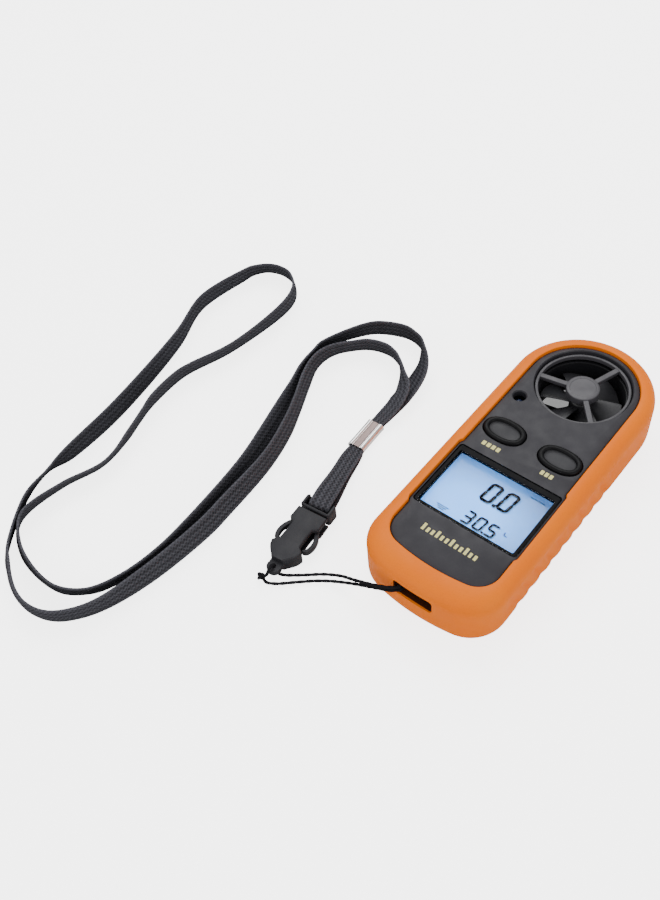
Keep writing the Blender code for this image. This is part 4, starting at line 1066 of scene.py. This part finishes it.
def make_crimp():
    """Two rolled edges and a sunk middle, with slightly flared ends."""
    length, width, height = CRIMP_SIZE
    turn = turned_at((*CRIMP_AT, REST_LIFT), CRIMP_TURN)
    count = 64
    rings = []
    for i in range(15):
        u = length * (i / 14 - 0.5)
        shrunk = 1 - 0.03 * (1 - abs(i / 7 - 1) ** 6)
        ring = []
        for (y, z), a in zip(oval(width / 2, height / 2, count, 0.7, 0.7), turns(count)):
            if sin(a) > 0:
                z -= 0.2 * MM * exp(-((abs(y) - CREASE) / (0.2 * MM)) ** 2)
                z -= 0.42 * MM * exp(-(y / CREASE) ** 8)
                z -= 0.25 * MM * ((abs(y) - 0.68 * width / 2) / (0.32 * width / 2)) ** 2 * (
                    abs(y) > 0.36 * width / 2)
            ring.append(turn @ Vector((u, y * shrunk, height / 2 + z * shrunk)))
        rings.append(ring)
    for u in (length / 2, -length / 2):
        rings.append([turn @ Vector((u, y, height / 2 + z)) for y, z in
                      oval(width / 2 - 0.45 * MM, 0.95 * MM, count, 0.6, 0.6)])
    crimp = add("rolled_crimp", loft_mesh(rings, hoop=True), ["crimp", "crimp_valley_shade"],
                "strap_crimp", "plug", 50)
    # Faces in the sunk middle take the darker second finish: painted shade in the crimp's crease.
    back = turn.inverted()
    for face in crimp.data.polygons:
        local = back @ face.center
        if abs(local.y) < CREASE - 0.1 * MM and local.z > height * 0.72:
            face.material_index = 1
    return crimp


def socket_outline():
    half = [mm(*p) for p in ((0.3, 4.9), (2.5, 4.95), (4.6, 5.0), (5.3, 4.4), (6.0, 3.4), (9.0, 3.35),
                             (12.2, 3.5), (13.0, 4.5), (13.8, 5.05), (15.2, 4.65), (16.2, 4.0),
                             (17.0, 3.3), (18.3, 2.1))]
    half += arc(mm(20.2, 0), 2.1 * MM, 1.9, 0, 10)
    return [(x, -y) for x, y in half[:-1]] + half[::-1]


def clip_block(size, place):
    """A block in the buckle's own axes, its size and place in mm."""
    return block_mesh(mm(*size), BUCKLE @ Matrix.Translation(mm(*place)))


def clip_piece(name, outline, low, edge, body, replaces):
    """A soft-edged plate in the buckle's own axes, as far from its lower face as from its upper one."""
    bm = placed(soft_plate_mesh(outline, low, BUCKLE_THICK - low, edge), BUCKLE)
    return add(name, bm, "buckle", replaces, body, 35)


def make_buckle():
    """Socket, plug and the two release arms."""
    thick = BUCKLE_THICK / MM
    socket = clip_piece("clip_socket", socket_outline(), 0, 0.55 * MM, "meter", "buckle_socket")
    eye = placed(disc_mesh(0.68 * MM, mm(20.2, 0), *mm(-1, 8), 40), BUCKLE)
    boolean(socket, [clip_block((13.5, 20, thick - 2 * PLATE / MM), (6.0, 0, thick / 2)), eye,
                     clip_block((6, 8, 3.2), (21.4, 0, 0)), clip_block((6, 8, 3.2), (21.4, 0, thick))])
    plug = clip_piece("clip_plug", rounded_box(*mm(2.15, 4.95, 0.8), mm(-2.45, 0)), 0.1 * MM, 0.45 * MM,
                      "plug", "buckle_plug")
    boolean(plug, [clip_block((10.6, 2.2, 1.8), (4.6, 0, thick / 2))], "UNION")
    boolean(plug, [clip_block((2.2, 8.2, 20), (-2.1, 0, 0)),
                   clip_block((3.0, 8.2, 3.0), (-4.2, 0, thick + 0.1)),
                   clip_block((3.0, 8.2, 2.6), (-4.2, 0, 0))])
    inner = [(0.0, -0.7), (1.5, -0.4), (3.0, 0.1), (4.5, 0.85), (6.0, 1.6), (7.3, 2.1), (8.5, 2.2),
             (9.6, 2.05), (10.4, 1.7), (10.8, 1.2), (11.0, 0.7)]
    outer = [(11.6, 1.4), (11.4, 2.2), (10.9, 2.8), (9.9, 3.25), (8.8, 3.45), (7.4, 3.4), (6.0, 3.05),
             (4.7, 2.4), (3.4, 1.6), (1.8, 0.95), (0.0, 0.7)]
    arms = []
    for side, name in ((-1, "left"), (1, "right")):
        points = [((x + 0.9) * MM, side * (y + 2.9) * MM) for x, y in inner + outer]
        arms.append(clip_piece(f"clip_arm_{name}", points[::side], PLATE + 0.3 * MM, 0.22 * MM,
                               f"{name}_arm", f"release_arm_{name}"))
    return socket, plug, arms


def cord_mesh(points, sides=12, twist=2.4 * MM, depth=0.16, hoop=False):
    """A cord of two twisted plies: a round section with two lobes."""
    count = len(points)
    rings = []
    normal = None
    walked = 0.0
    for i, p in enumerate(points):
        if hoop:
            along = (points[(i + 1) % count] - points[i - 1]).normalized()
        else:
            along = (points[min(i + 1, count - 1)] - points[max(i - 1, 0)]).normalized()
        if normal is None:
            normal = along.orthogonal().normalized()
        else:
            normal = (normal - along * normal.dot(along)).normalized()
            walked += (p - points[i - 1]).length
        other = along.cross(normal)
        ring = []
        for a in turns(sides):
            lobe = 1 - depth * (0.5 - 0.5 * cos(2 * a - 2 * pi * walked / twist))
            ring.append(p + (normal * cos(a) + other * sin(a)) * CORD_RADIUS * lobe)
        rings.append(ring)
    return loft_mesh(rings, hoop)


def make_cord():
    start, end = (KNOT_AT + Vector(shift) * MM for shift in ((0.4, 0.2, -0.1), (0.3, 0.3, 0.3)))
    path = smooth_path([start] + CORD_ROUTE + [end], 0.28 * MM)
    cord = add("twisted_cord", cord_mesh(path), "cord", "loop_cord", sharp=60)
    knot = []
    for a in turns(120):
        x = (sin(a) + 2 * sin(2 * a)) * 0.27 * MM
        y = (cos(a) - 2 * cos(2 * a)) * 0.27 * MM
        knot.append(KNOT_AT + Vector((x, y, -sin(3 * a) * 0.5 * MM)))
    lump = add("tied_knot", cord_mesh(knot, 10, 1.5 * MM, 0.1, True), "cord", "cord_knot",
               sharp=60)
    return cord, lump, path


# ---- build

make_camera()
FINISH = make_materials()
neck_tape, neck_route = make_neck_tape()
crimp = make_crimp()
tail = make_tail()
socket, plug, arms = make_buckle()
cord, knot, cord_path = make_cord()
make_studio()
make_boot()
make_face()
make_back()
make_cap()
make_grille("front_guard", "front_grille", *mm(13.9, 13.0, 13.8, 15.4, 13.1, 15.6), mm(12, 14.6))
make_grille("rear_guard", "rear_grille", *mm(13.4, 12.5, 0.9, 2.5, 1.0, 3.2), mm(1.6, 5))
make_duct()
make_blades()
make_window()
make_digits()
make_marks()
make_key("mode_pad", "button_mode", "mode_key", -9 * MM)
make_key("set_pad", "button_set", "set_key", 9 * MM)

# Nodes that keep the CAD's own shape.
KEPT = {"display": ["lcd_glass"], "backlight": ["lcd_backlight"], "zebra": ["elastomer_strip"],
        "board": ["circuit_board"], "seal": ["cap_seal"], "bead": ["temperature_sensor"],
        "dark_plastic": ["hall_sensor"], "magnet": ["rotor_magnet"],
        "contact": ["contact_positive", "contact_negative", "front_bearing", "rear_bearing"],
        "steel": ["coin_cell", "switch_dome_mode", "switch_dome_set", "impeller_shaft", "lanyard_pin",
                  *(f"case_screw_{k}" for k in (1, 2, 3, 4))]}
for finish, nodes in KEPT.items():
    for node in nodes:
        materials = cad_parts[node].data.materials
        materials.clear()
        materials.append(FINISH[finish])
